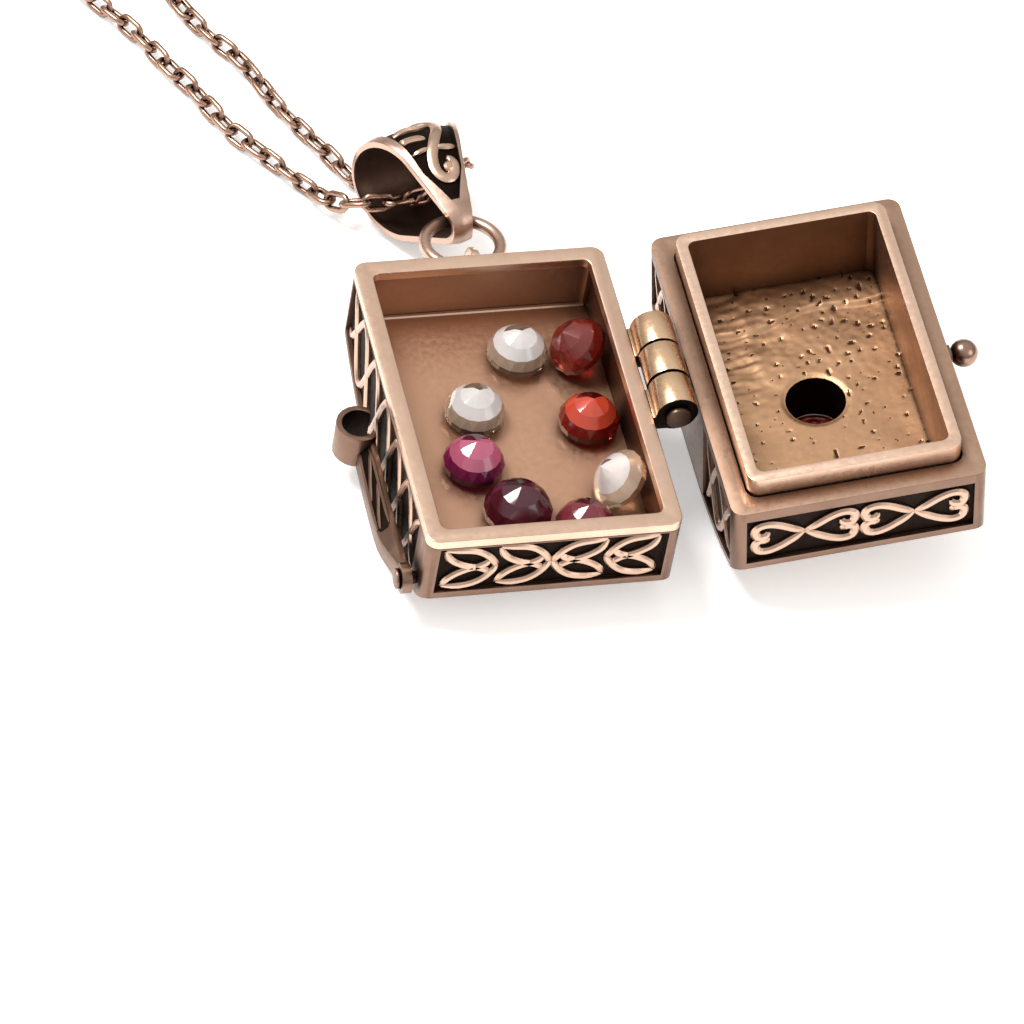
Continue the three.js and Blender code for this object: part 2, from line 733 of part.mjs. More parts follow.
// The least gap between two stretches of one tube that are over three diameters apart along it
function leastGap(points, diameter) {
  const spaced = new THREE.CatmullRomCurve3(points, false, 'centripetal').getSpacedPoints(600);
  const step = spaced[0].distanceTo(spaced[1]);
  const apart = Math.ceil((3 * diameter) / step);
  let least = Infinity;
  for (let i = 0; i < spaced.length; i += 1) {
    for (let j = i + apart; j < spaced.length; j += 1) {
      least = Math.min(least, spaced[i].distanceTo(spaced[j]));
    }
  }
  return least - diameter;
}

const lowerCoil = coilPoints(lowerRoute[lowerRoute.length - 1].x, 1);
const upperCoil = coilPoints(upperRoute[upperRoute.length - 1].x, -1);

for (const [name, route, coil] of [['lower', lowerRoute, lowerCoil], ['upper', upperRoute, upperCoil]]) {
  const join = coil[0].clone();
  join.y -= endGap;
  route[route.length - 1].copy(join);
  const strandSteps = Math.round(routeLength(route) / (2 * chainDiameter));
  const coilSteps = coil.length - 1;
  const strand = tube(route, chainDiameter / 2, strandSteps, strandSides);
  addMesh(part, `chain_strand_${name}`, strand, metals.chain);
  addMesh(part, `chain_coil_${name}`, tube(coil, chainDiameter / 2, coilSteps, coilSides), metals.chain);
  const length = routeLength(route) + routeLength(coil);
  const gap = leastGap(coil, chainDiameter);
  console.log(`${name} chain ${length.toFixed(1)} mm, least coil gap ${gap.toFixed(2)} mm`);
}
addMesh(part, 'chain_turn', tube(turnRoute, turnDiameter / 2, turnSteps, strandSides), metals.chain);

// Clasp at the end of the lower chain, drawn along +X from its eye and turned to follow the chain
const lowerEnd = lowerCoil[lowerCoil.length - 1];
const upperEnd = upperCoil[upperCoil.length - 1];
const endRingOuter = claspRingRadius + claspRingWire;
const claspZ = claspEyeRadius + tableGap;

function linkRing() {
  return new THREE.TorusGeometry(claspRingRadius, claspRingWire, 6, 20);
}

const claspRing = addMesh(part, 'clasp_ring', linkRing(), metals.polished);
claspRing.position.set(lowerEnd.x - endGap - endRingOuter, lowerEnd.y, claspZ);
const endRing = addMesh(part, 'end_ring', linkRing(), metals.polished);
endRing.position.set(upperEnd.x + endGap + endRingOuter, upperEnd.y, claspRingWire + tableGap);

const clasp = new THREE.Group();
clasp.position.set(claspRing.position.x - claspRingRadius, lowerEnd.y, claspZ);
clasp.rotation.z = Math.PI;
part.add(clasp);

const clawX = claspEyeRadius + clawStemLength + clawRadius - claspThickness / 2;
const leverPivotRadius = (clawRadius + clawBore) / 2;
const leverX = clawX + leverPivotRadius * Math.cos(leverPivot);
const leverY = leverPivotRadius * Math.sin(leverPivot);
const claspHalf = claspThickness / 2;

function sector(inner, outer, start, end) {
  const shape = new THREE.Shape();
  shape.absarc(0, 0, outer, start, end);
  shape.absarc(0, 0, inner, end, start, true);
  return shape;
}

function claspBody() {
  const eye = toSolid(cylinderAlong('y', claspEyeRadius, -claspEyeThickness / 2, claspEyeThickness / 2, 20));
  const stemFrom = claspEyeBore + seatGap;
  const stemTo = clawX - clawBore;
  const stem = toSolid(box(stemFrom, stemTo, -clawStemHalfWidth, clawStemHalfWidth, -claspHalf, claspHalf));
  const claw = toSolid(cylinderAlong('z', clawRadius, -claspHalf, claspHalf, 28).translate(clawX, 0, 0));
  const clawHole = cylinderAlong('z', clawBore, -claspHalf - 1, claspHalf + 1, 24);
  const bore = toSolid(clawHole.translate(clawX, 0, 0));
  const opening = sector(clawBore / 2, clawRadius + 1, 0, gateEnd);
  const gateSide = toSolid(slab(opening, -claspHalf - 1, claspHalf + 1).translate(clawX, 0, 0));
  const swing = cylinderAlong('z', leverLength + leverSlack, -claspHalf - 1, claspHalf + 1, 48);
  const gate = gateSide.intersect(toSolid(swing.translate(leverX, leverY, 0)));
  const slotRadius = leverEyeRadius + leverSlotClearance;
  const slotHalf = leverThickness / 2 + leverSlack;
  const slot = toSolid(cylinderAlong('z', slotRadius, -slotHalf, slotHalf, 16).translate(leverX, leverY, 0));
  const pinHole = toSolid(cylinderAlong('z', claspPinRadius + seatGap, -claspHalf - 1, claspHalf + 1, 12)
    .translate(leverX, leverY, 0));
  const eyeHole = toSolid(cylinderAlong('y', claspEyeBore, -claspEyeThickness, claspEyeThickness, 16));
  const solid = eye.add(stem).add(claw).subtract(bore).subtract(gate).subtract(slot).subtract(pinHole);
  return toGeometry(solid.subtract(eyeHole));
}

function claspLever() {
  const thick = leverThickness / 2;
  const bar = sector(clawBore + leverSlack / 2, clawRadius - leverSlack / 2, 0, leverPivot);
  const reach = toSolid(cylinderAlong('z', leverLength, -thick, thick, 48).translate(leverX, leverY, 0));
  const lever = toSolid(slab(bar, -thick, thick, 10).translate(clawX, 0, 0)).intersect(reach);
  const eye = toSolid(cylinderAlong('z', leverEyeRadius, -thick, thick, 16).translate(leverX, leverY, 0));
  const tab = sector(clawRadius - leverSlack, clawRadius + thumbRise, thumbStart, thumbEnd);
  const thumb = toSolid(slab(tab, -thick, thick, 4).translate(clawX, 0, 0));
  const hole = toSolid(cylinderAlong('z', claspPinRadius + seatGap, -1, 1, 12).translate(leverX, leverY, 0));
  return toGeometry(lever.add(eye).add(thumb).subtract(hole));
}

addMesh(clasp, 'clasp_body', claspBody(), metals.polished);
addMesh(clasp, 'clasp_lever', claspLever(), metals.polished);
const claspPin = cylinderAlong('z', claspPinRadius, -claspHalf, claspHalf, 12).translate(leverX, leverY, 0);
addMesh(clasp, 'clasp_pin', claspPin, metals.satin);

export default part;
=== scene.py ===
"""Looks of the prayer box necklace. Pieces are made in millimetres and finished in metres."""
import json
import math
import random

import bmesh
import bpy
from mathutils import Matrix, Vector, noise

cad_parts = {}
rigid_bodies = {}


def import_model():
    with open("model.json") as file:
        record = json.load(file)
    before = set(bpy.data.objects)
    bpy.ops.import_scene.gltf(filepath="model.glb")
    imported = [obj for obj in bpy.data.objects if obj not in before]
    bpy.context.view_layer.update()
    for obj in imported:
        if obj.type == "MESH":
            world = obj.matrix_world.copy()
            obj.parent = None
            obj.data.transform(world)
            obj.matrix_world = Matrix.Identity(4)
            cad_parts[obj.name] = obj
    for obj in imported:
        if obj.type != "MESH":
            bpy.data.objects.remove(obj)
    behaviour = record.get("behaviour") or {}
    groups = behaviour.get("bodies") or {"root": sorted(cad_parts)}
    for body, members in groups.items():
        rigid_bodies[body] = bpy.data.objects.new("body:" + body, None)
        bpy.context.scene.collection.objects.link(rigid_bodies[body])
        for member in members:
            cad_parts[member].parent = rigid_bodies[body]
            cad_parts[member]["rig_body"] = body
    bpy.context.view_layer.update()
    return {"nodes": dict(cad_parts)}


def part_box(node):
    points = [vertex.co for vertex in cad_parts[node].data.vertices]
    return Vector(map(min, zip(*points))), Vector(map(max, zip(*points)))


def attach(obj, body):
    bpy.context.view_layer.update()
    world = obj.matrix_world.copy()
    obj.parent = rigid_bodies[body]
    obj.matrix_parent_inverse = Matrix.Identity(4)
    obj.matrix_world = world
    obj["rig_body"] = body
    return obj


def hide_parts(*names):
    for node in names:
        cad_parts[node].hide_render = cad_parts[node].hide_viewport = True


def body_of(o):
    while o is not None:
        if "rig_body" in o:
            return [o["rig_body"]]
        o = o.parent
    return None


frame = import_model()

MM = 0.001

# Sizes of the box, as in the solids, in millimetres
BOX_WIDTH = 16.0
BOX_LENGTH = 23.2
WALL_DEPTH = 5.2
DOME_RISE = 2.8
FLAT_CUT = 0.2
RIM_Z = WALL_DEPTH + DOME_RISE - FLAT_CUT
TRAY_WALL = 0.7
TRAY_DEPTH = 4.4
LID_DEPTH = 4.4
LID_STEP = 1.28
LIP_THICKNESS = 0.7
LID_BORE = 1.9
PANEL_DEPTH = 0.3
PANEL_TOP = 0.8
PANEL_FOOT = 0.5
PANEL_SIDE = 0.85
HINGE_OFFSET = 1.5
RIM_GAP = 0.3
AXIS_X = BOX_WIDTH / 2 + HINGE_OFFSET
AXIS_Z = RIM_Z + RIM_GAP / 2
BARREL_LENGTH = 7.5
HINGE_Y = 0.8
SEAT_GAP = 0.1
TABLE_GAP = 0.02
ARCH_RADIUS = (BOX_LENGTH ** 2 / 4 + DOME_RISE ** 2) / (2 * DOME_RISE)
DOME_FLAT = -RIM_Z
# The set stone's edge against the hinge: how far it hangs below and how far out it lies, for the lid's tilt
STONE_HANG = 9.25
STONE_LEVER = 8.3
STONE_REACH = math.hypot(STONE_HANG, STONE_LEVER)
LID_TILT = math.atan2(STONE_HANG, STONE_LEVER) - math.asin((AXIS_Z - TABLE_GAP) / STONE_REACH)
# The loose stones, the jump ring, the bail and the latch
STONE_RADIUS = 1.92
STONE_TABLE = 1.1
STONE_CROWN = 0.5
STONE_GIRDLE = 0.4
STONE_PAVILION = 1.72
STONE_TIP = 0.08
STONE_SWELL = ((0.84, 0.36), (0.56, 0.71))
STONE_LEAN_SWELL = ((0.73, 0.36), (0.38, 0.71))
RING_RADIUS = 2.4
RING_WIRE = 0.4
RING_TILT = math.radians(-8)
RING_HINGE = Vector((0, BOX_LENGTH / 2 + 0.65, RIM_Z - 2))
RING_AWAY = Vector((0, math.cos(RING_TILT), math.sin(RING_TILT)))
BAIL_HINGE = RING_HINGE + RING_AWAY * (2 * RING_RADIUS)
BAIL_TOP = 3.75
BAIL_FOOT = 1.5
BAIL_REACH = 4.8
BAIL_THICKNESS = 0.45
BAIL_TOP_WIDTH = 7.0
BAIL_FOOT_WIDTH = 1.3
BAIL_CROWN = 0.6
BAIL_YAW = math.radians(12)
BAIL_PITCH = math.asin((BAIL_TOP + 0.2 - BAIL_HINGE.z) / BAIL_REACH)
LATCH_GAP = 0.4
LATCH_THICKNESS = 1.1
LATCH_HALF_WIDTH = 0.95
LATCH_STRIP = 0.35
LATCH_SLOPE = 0.8
LATCH_BOW = 0.6
BALL_Y = -0.6
BALL_DEPTH = 1.55
LATCH_DROP = 4.6
LATCH_PIVOT_Y = -10.3
LATCH_PIVOT = Vector((0, LATCH_PIVOT_Y, RIM_Z - LATCH_DROP))
LATCH_REACH = math.hypot(BALL_Y - LATCH_PIVOT_Y, LATCH_DROP + RIM_GAP + BALL_DEPTH)
HOOD_OUT = 1.15
HOOD_INSIDE = 1.2
CHAIN = 1.4

# Where each part of the box stands
TRAY_PLACE = Matrix.Translation((0, 0, RIM_Z))
SWING_PLACE = Matrix.Translation((AXIS_X, 0, AXIS_Z)) @ Matrix.Rotation(-LID_TILT, 4, "Y")
LID_PLACE = SWING_PLACE @ Matrix.Translation((HINGE_OFFSET + BOX_WIDTH / 2, 0, -RIM_GAP / 2))
LATCH_PLACE = Matrix.Translation(LATCH_PIVOT)
RING_PLACE = Matrix.Translation(RING_HINGE + RING_AWAY * RING_RADIUS) @ Matrix.Rotation(RING_TILT, 4, "X")
BAIL_PLACE = (
    Matrix.Translation(BAIL_HINGE) @ Matrix.Rotation(BAIL_YAW, 4, "Z") @ Matrix.Rotation(BAIL_PITCH, 4, "X")
)


# Camera, lights and table
CAMERA_LENS = 286.6
CAMERA_RIGHT = Vector((0.96878, -0.21142, 0.12947))
CAMERA_UP = Vector((0.07498, 0.74766, 0.65984))
CAMERA_AIM = Vector((-0.853, -5.456, 2.887))
CAMERA_AWAY = 500


def add_camera():
    data = bpy.data.cameras.new("camera")
    data.lens = CAMERA_LENS
    data.sensor_width = 36
    data.clip_end = 10
    camera = bpy.data.objects.new("camera", data)
    bpy.context.scene.collection.objects.link(camera)
    back = CAMERA_RIGHT.cross(CAMERA_UP)
    turn = Matrix((CAMERA_RIGHT, CAMERA_UP, back)).transposed().to_4x4()
    camera.matrix_world = Matrix.Translation((CAMERA_AIM + back * CAMERA_AWAY) * MM) @ turn
    bpy.context.scene.camera = camera


def add_light(name, place, size, power):
    data = bpy.data.lights.new(name, "AREA")
    data.shape = "DISK"
    data.size = size
    data.energy = power
    light = bpy.data.objects.new(name, data)
    light.location = place
    light.rotation_euler = (-Vector(place)).to_track_quat("-Z", "Y").to_euler()
    bpy.context.scene.collection.objects.link(light)


def add_table():
    bm = bmesh.new()
    bmesh.ops.create_grid(bm, x_segments=1, y_segments=1, size=1.5)
    mesh = bpy.data.meshes.new("table")
    bm.to_mesh(mesh)
    bm.free()
    table = bpy.data.objects.new("table", mesh)
    bpy.context.scene.collection.objects.link(table)
    material = bpy.data.materials.new("pale_table")
    material.use_nodes = True
    shader = material.node_tree.nodes["Principled BSDF"]
    shader.inputs["Base Color"].default_value = (0.93, 0.92, 0.91, 1)
    shader.inputs["Roughness"].default_value = 0.9
    shader.inputs["Specular IOR Level"].default_value = 0.1
    shader.inputs["Emission Color"].default_value = (1, 0.99, 0.98, 1)
    shader.inputs["Emission Strength"].default_value = 0.4
    mesh.materials.append(material)


def add_world():
    world = bpy.data.worlds.new("studio")
    bpy.context.scene.world = world
    world.use_nodes = True
    nodes = world.node_tree.nodes
    links = world.node_tree.links
    background = nodes["Background"]
    background.inputs["Strength"].default_value = 0.9
    place = nodes.new("ShaderNodeTexCoord")
    split = nodes.new("ShaderNodeSeparateXYZ")
    ramp = nodes.new("ShaderNodeValToRGB")
    ramp.color_ramp.elements[0].position = 0.0
    ramp.color_ramp.elements[0].color = (0.30, 0.27, 0.25, 1)
    ramp.color_ramp.elements[1].position = 0.75
    ramp.color_ramp.elements[1].color = (1.0, 0.99, 0.97, 1)
    links.new(place.outputs["Generated"], split.inputs[0])
    links.new(split.outputs["Z"], ramp.inputs[0])
    links.new(ramp.outputs["Color"], background.inputs["Color"])


add_camera()
add_world()
add_table()
add_light("key", place=(-0.25, 0.15, 0.5), size=0.22, power=3.2)
add_light("fill", place=(0.45, -0.35, 0.35), size=0.4, power=0.8)
bpy.context.scene.view_settings.view_transform = "Standard"


# Node groups
def new_group(name, inputs, outputs):
    group = bpy.data.node_groups.new(name, "ShaderNodeTree")
    for label, kind, value in inputs:
        socket = group.interface.new_socket(name=label, in_out="INPUT", socket_type=kind)
        socket.default_value = value
    for label, kind in outputs:
        group.interface.new_socket(name=label, in_out="OUTPUT", socket_type=kind)
    start = group.nodes.new("NodeGroupInput")
    end = group.nodes.new("NodeGroupOutput")
    return group, start, end


def add_math(tree, operation, first, second, clamp=False):
    node = tree.nodes.new("ShaderNodeMath")
    node.operation = operation
    node.use_clamp = clamp
    for index, value in enumerate((first, second)):
        if isinstance(value, bpy.types.NodeSocket):
            tree.links.new(value, node.inputs[index])
        else:
            node.inputs[index].default_value = value
    return node.outputs[0]


def add_range(tree, value, low, high, start=0.0, stop=1.0):
    node = tree.nodes.new("ShaderNodeMapRange")
    tree.links.new(value, node.inputs["Value"])
    node.inputs["From Min"].default_value = low
    node.inputs["From Max"].default_value = high
    node.inputs["To Min"].default_value = start
    node.inputs["To Max"].default_value = stop
    return node.outputs["Result"]


def add_mix(tree, factor, first, second, blend="MIX"):
    node = tree.nodes.new("ShaderNodeMix")
    node.data_type = "RGBA"
    node.blend_type = blend
    for socket, value in ((node.inputs[0], factor), (node.inputs[6], first), (node.inputs[7], second)):
        if isinstance(value, bpy.types.NodeSocket):
            tree.links.new(value, socket)
        else:
            socket.default_value = value
    return node.outputs[2]


def add_noise(tree, vector, scale, detail=3.0, roughness=0.5):
    node = tree.nodes.new("ShaderNodeTexNoise")
    node.inputs["Scale"].default_value = scale
    node.inputs["Detail"].default_value = detail
    node.inputs["Roughness"].default_value = roughness
    tree.links.new(vector, node.inputs["Vector"])
    return node.outputs["Fac"]


CLOUD_SCALE = 380
SMUDGE_SCALE = 130
GRAIN_SCALE = 2600


def make_wear_and_shade():
    """Worn metal: polished where it is rubbed and brown in the middle, with painted shade that darkens
    corners, creases and the metal under overhangs.
    """
    group, start, end = new_group(
        "wear_and_painted_shade",
        [
            ("Polished", "NodeSocketColor", (0.85, 0.65, 0.52, 1)),
            ("Brown", "NodeSocketColor", (0.6, 0.42, 0.32, 1)),
            ("Dark", "NodeSocketColor", (0.06, 0.035, 0.025, 1)),
            ("Rubbed", "NodeSocketFloat", 0.6),
            ("Corner Shade", "NodeSocketFloat", 0.7),
            ("Reach", "NodeSocketFloat", 0.0011),
            ("Smooth", "NodeSocketFloat", 0.25),
            ("Rough", "NodeSocketFloat", 0.5),
        ],
        [("Color", "NodeSocketColor"), ("Roughness", "NodeSocketFloat"), ("Height", "NodeSocketFloat")],
    )
    nodes = group.nodes
    links = group.links
    place = nodes.new("ShaderNodeTexCoord").outputs["Object"]
    cloud = add_noise(group, place, CLOUD_SCALE, 4.0, 0.6)
    smudge = add_noise(group, place, SMUDGE_SCALE, 2.0, 0.5)
    grain = add_noise(group, place, GRAIN_SCALE, 3.0, 0.6)
    # Painted shade: ambient occlusion within Reach darkens corners, creases and metal under overhangs
    # towards the shade colour.
    shade = nodes.new("ShaderNodeAmbientOcclusion")
    shade.samples = 8
    links.new(start.outputs["Reach"], shade.inputs["Distance"])
    corner = add_range(group, shade.outputs["AO"], 0.3, 0.9, 1.0, 0.0)
    corner = add_math(group, "MULTIPLY", corner, start.outputs["Corner Shade"], True)
    edge = add_range(group, nodes.new("ShaderNodeNewGeometry").outputs["Pointiness"], 0.5, 0.56)
    patch = add_range(group, add_math(group, "ADD", cloud, smudge), 0.8, 1.2)
    rubbed = add_math(group, "ADD", add_math(group, "MULTIPLY", patch, 0.5), edge)
    rubbed = add_math(group, "MULTIPLY", rubbed, start.outputs["Rubbed"], True)
    body = add_mix(group, rubbed, start.outputs["Brown"], start.outputs["Polished"])
    body = add_mix(group, corner, body, start.outputs["Dark"])
    links.new(body, end.inputs["Color"])
    scratch = add_range(group, grain, 0.3, 0.7, -0.05, 0.08)
    rough = nodes.new("ShaderNodeMix")
    links.new(rubbed, rough.inputs[0])
    links.new(start.outputs["Rough"], rough.inputs[2])
    links.new(start.outputs["Smooth"], rough.inputs[3])
    links.new(add_math(group, "ADD", rough.outputs[0], scratch, True), end.inputs["Roughness"])
    links.new(add_math(group, "ADD", grain, cloud), end.inputs["Height"])
    return group


WEAR_AND_SHADE = make_wear_and_shade()
# Colour of the painted shade in corners and under overhangs.
CORNER_SHADE = (0.035, 0.016, 0.010)


def metal(name, polished, brown, rubbed, corner, smooth, rough, dark=CORNER_SHADE, reach=1.1, bump=0.1, depth=0.03):
    """A metal with the worn finish and painted shade in its corners. Reach of the painted corner shade and
    depth of the bumps are in millimetres.
    """
    material = bpy.data.materials.new(name)
    material.use_nodes = True
    tree = material.node_tree
    shader = tree.nodes["Principled BSDF"]
    shader.inputs["Metallic"].default_value = 1.0
    group = tree.nodes.new("ShaderNodeGroup")
    group.node_tree = WEAR_AND_SHADE
    for label, value in (("Polished", polished), ("Brown", brown), ("Dark", dark)):
        group.inputs[label].default_value = (*value, 1)
    for label, value in (
        ("Rubbed", rubbed), ("Corner Shade", corner), ("Smooth", smooth), ("Rough", rough), ("Reach", reach * MM),
    ):
        group.inputs[label].default_value = value
    height = tree.nodes.new("ShaderNodeBump")
    height.inputs["Strength"].default_value = bump
    height.inputs["Distance"].default_value = depth * MM
    tree.links.new(group.outputs["Height"], height.inputs["Height"])
    tree.links.new(group.outputs["Color"], shader.inputs["Base Color"])
    tree.links.new(group.outputs["Roughness"], shader.inputs["Roughness"])
    tree.links.new(height.outputs["Normal"], shader.inputs["Normal"])
    return material


rose_polished = metal(
    "rose_bronze_polished", (0.80, 0.57, 0.43), (0.62, 0.41, 0.30),
    rubbed=0.9, corner=0.5, smooth=0.26, rough=0.4,
)
bail_polished = metal(
    "rose_bronze_bail", (0.60, 0.41, 0.32), (0.37, 0.235, 0.185),
    rubbed=0.8, corner=0.7, smooth=0.26, rough=0.42,
)
# Satin bronze of the outer walls and the latch, far darker than the polished rims: partly its satin finish,
# partly painted shade on walls that face away from the light.
rose_satin_shaded = metal(
    "rose_bronze_satin_painted_shade", (0.25, 0.155, 0.112), (0.115, 0.062, 0.042),
    rubbed=0.7, corner=0.95, smooth=0.34, rough=0.5, reach=1.6,
)
tray_plate = metal(
    "tray_floor_satin", (0.54, 0.315, 0.205), (0.48, 0.275, 0.17),
    rubbed=0.8, corner=0.55, smooth=0.42, rough=0.55, reach=1.8,
)
# Darker metal for the long inner side walls, as painted shade on the walls that face sideways.
side_wall_shade = metal(
    "side_wall_shade", (0.30, 0.16, 0.10), (0.16, 0.078, 0.045),
    rubbed=0.6, corner=0.95, smooth=0.36, rough=0.5, reach=2.6,
)
lid_casting = metal(
    "lid_casting", (0.55, 0.33, 0.185), (0.40, 0.23, 0.13),
    rubbed=0.9, corner=0.95, smooth=0.3, rough=0.5, reach=0.4, bump=0.16, depth=0.04,
)
lip_inside = metal(
    "lip_inside", (0.46, 0.28, 0.18), (0.26, 0.14, 0.085),
    rubbed=0.6, corner=0.9, smooth=0.34, rough=0.5, reach=2.4,
)
# The ledge's long reach and full corner darkening paint the shadow along the walls and under the lid's lip.
ledge_metal = metal(
    "lid_ledge", (0.50, 0.32, 0.225), (0.29, 0.17, 0.115),
    rubbed=0.8, corner=1.0, smooth=0.3, rough=0.45, reach=2.8,
)
gold_polished = metal(
    "gold_bronze", (0.76, 0.51, 0.32), (0.50, 0.31, 0.19),
    rubbed=0.8, corner=0.8, smooth=0.24, rough=0.4,
)
ball_metal = metal(
    "ball_bronze", (0.40, 0.26, 0.195), (0.20, 0.115, 0.085),
    rubbed=0.6, corner=0.9, smooth=0.2, rough=0.34, reach=2.2,
)
# Blackened metal: oxide in the recesses and on the latch's ground, and painted shade on the knuckles' flat
# ends and inside the latch's hood.
oxide_and_shade = metal(
    "oxide_and_painted_shade", (0.022, 0.012, 0.009), (0.012, 0.007, 0.005),
    rubbed=0.4, corner=0.5, smooth=0.5, rough=0.65, dark=(0.006, 0.004, 0.003),
)
pit_metal = metal(
    "casting_pit", (0.11, 0.058, 0.034), (0.065, 0.033, 0.02),
    rubbed=0.5, corner=0.95, smooth=0.55, rough=0.7,
)
relief_metal = metal(
    "relief_metal", (0.60, 0.41, 0.305), (0.38, 0.24, 0.175),
    rubbed=0.9, corner=0.4, smooth=0.3, rough=0.45,
)
chain_metal = metal(
    "chain_metal", (0.43, 0.262, 0.19), (0.21, 0.12, 0.085),
    rubbed=0.8, corner=0.9, smooth=0.28, rough=0.42, reach=0.9,
)
bail_inside = metal(
    "bail_inside", (0.22, 0.13, 0.10), (0.10, 0.058, 0.042),
    rubbed=0.6, corner=0.9, smooth=0.3, rough=0.5, reach=3.0,
)
dark_metal = metal(
    "dark_bronze", (0.16, 0.10, 0.075), (0.07, 0.042, 0.03),
    rubbed=0.5, corner=0.7, smooth=0.3, rough=0.5, dark=(0.012, 0.007, 0.005),
)


GLASS_CLOUD = 0.84


def glass(name, colour, clarity, ior, rough=0.03):
    """A cut stone's glass: clarity 1 is see-through, less is milky inside."""
    material = bpy.data.materials.new(name)
    material.use_nodes = True
    tree = material.node_tree
    shader = tree.nodes["Principled BSDF"]
    shader.inputs["Transmission Weight"].default_value = clarity
    shader.inputs["Roughness"].default_value = rough
    shader.inputs["IOR"].default_value = ior
    shader.inputs["Coat Weight"].default_value = 0.2
    shader.inputs["Coat Roughness"].default_value = 0.08
    place = tree.nodes.new("ShaderNodeTexCoord")
    cloud = add_range(tree, add_noise(tree, place.outputs["Object"], 520, 2.0), 0.35, 0.65)
    tint = tuple(value * GLASS_CLOUD for value in colour)
    tree.links.new(add_mix(tree, cloud, (*colour, 1), (*tint, 1)), shader.inputs["Base Color"])
    return material


def stone_glasses(name, rim, heart):
    """A stone's glasses as lit and shaded copies: a clear darker glass for its girdle as painted shade, a
    milky glass for its long facets as painted light, and the ring between them.
    """
    return [
        glass(f"{name}_shaded", rim, clarity=0.9, ior=1.45),
        glass(f"{name}_lit", heart, clarity=0.42, ior=1.55, rough=0.15),
        glass(f"{name}_ring", rim, clarity=0.65, ior=1.48, rough=0.1),
    ]


GLASSES = {
    "clear_glass": stone_glasses("clear_crystal", (0.88, 0.64, 0.46), (1.0, 0.95, 0.92)),
    "pink_glass": stone_glasses("pink_crystal", (0.36, 0.02, 0.12), (0.72, 0.16, 0.28)),
    "orange_glass": stone_glasses("orange_crystal", (0.40, 0.02, 0.012), (0.90, 0.09, 0.04)),
    "purple_glass": stone_glasses("purple_crystal", (0.14, 0.012, 0.03), (0.10, 0.01, 0.025)),
    "rose_glass": stone_glasses("rose_crystal", (0.30, 0.04, 0.06), (0.26, 0.028, 0.045)),
    "red_glass": stone_glasses("red_crystal", (0.30, 0.025, 0.015), (0.22, 0.022, 0.014)),
    "garnet_glass": stone_glasses("garnet_crystal", (0.30, 0.012, 0.016), (0.30, 0.012, 0.016)),
}


# Making pieces
def finish_piece(name, bm, body, materials, place=None, smooth=35.0):
    """Turns a bmesh in millimetres into a piece in metres that rides on a body."""
    if place is not None:
        bmesh.ops.transform(bm, matrix=place, verts=bm.verts)
    bmesh.ops.scale(bm, vec=(MM, MM, MM), verts=bm.verts)
    limit = math.radians(smooth)
    for face in bm.faces:
        face.smooth = True
    for edge in bm.edges:
        if len(edge.link_faces) == 2:
            edge.smooth = edge.calc_face_angle(0.0) < limit
    mesh = bpy.data.meshes.new(name)
    bm.to_mesh(mesh)
    bm.free()
    for material in materials:
        mesh.materials.append(material)
    piece = bpy.data.objects.new(name, mesh)
    bpy.context.scene.collection.objects.link(piece)
    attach(piece, body)
    return piece


def sweep(bm, stations, section, closed=False):
    """Pulls a closed section, a list of (x, y), along stations by extruding its edges."""
    corners = [bm.verts.new(stations[0] @ Vector((x, y, 0))) for x, y in section]
    count = len(corners)
    ring = [bm.edges.new((corners[i], corners[(i + 1) % count])) for i in range(count)]
    first = list(ring)
    run = list(stations[1:])
    if closed:
        run.append(stations[0])
    before = stations[0]
    for station in run:
        pulled = bmesh.ops.extrude_edge_only(bm, edges=ring)["geom"]
        moved = [item for item in pulled if isinstance(item, bmesh.types.BMVert)]
        ring = [item for item in pulled if isinstance(item, bmesh.types.BMEdge)]
        bmesh.ops.transform(bm, matrix=station @ before.inverted(), verts=moved)
        before = station
    if closed:
        loop = [vert for edge in first + ring for vert in edge.verts]
        bmesh.ops.remove_doubles(bm, verts=list(set(loop)), dist=1e-5)
    else:
        bmesh.ops.contextual_create(bm, geom=first)
        bmesh.ops.contextual_create(bm, geom=ring)


def station(point, along, normal):
    """A matrix whose Z runs along the path and whose Y stands off the surface."""
    forward = along.normalized()
    side = normal.cross(forward).normalized()
    out = forward.cross(side)
    matrix = Matrix((side, out, forward)).transposed().to_4x4()
    matrix.translation = point
    return matrix


def ribbon_section(width, height):
    half = width / 2
    return [
        (-half, 0), (half, 0), (half, height * 0.55), (half * 0.5, height),
        (-half * 0.5, height), (-half, height * 0.55),
    ]


def smooth_path(points, steps):
    """A smooth line through 2D points, with steps pieces between each pair."""
    line = []
    last = len(points) - 1
    for i in range(last):
        p0, p1, p2, p3 = points[max(i - 1, 0)], points[i], points[i + 1], points[min(i + 2, last)]
        for j in range(steps):
            t = j / steps
            line.append(tuple(
                0.5 * (
                    2 * b + (c - a) * t + (2 * a - 5 * b + 4 * c - d) * t * t
                    + (3 * b - a - 3 * c + d) * t ** 3
                )
                for a, b, c, d in zip(p0, p1, p2, p3)
            ))
    line.append(tuple(points[last]))
    return line


def add_ribbon(bm, surface, path, width, height, tip=0.4):
    """A raised ribbon along a 2D path on a surface, where surface(u, v) gives a point and a normal.

    Tip is how wide its ends are against its middle.
    """
    spots = [surface(u, v) for u, v in path]
    last = len(spots) - 1
    stations = []
    for i, (point, normal) in enumerate(spots):
        before = spots[max(i - 1, 0)][0]
        after = spots[min(i + 1, last)][0]
        full = min(1, tip + 0.25 * min(i, last - i))
        stations.append(station(point, after - before, normal) @ Matrix.Diagonal((full, full, 1, 1)))
    sweep(bm, stations, ribbon_section(width, height))


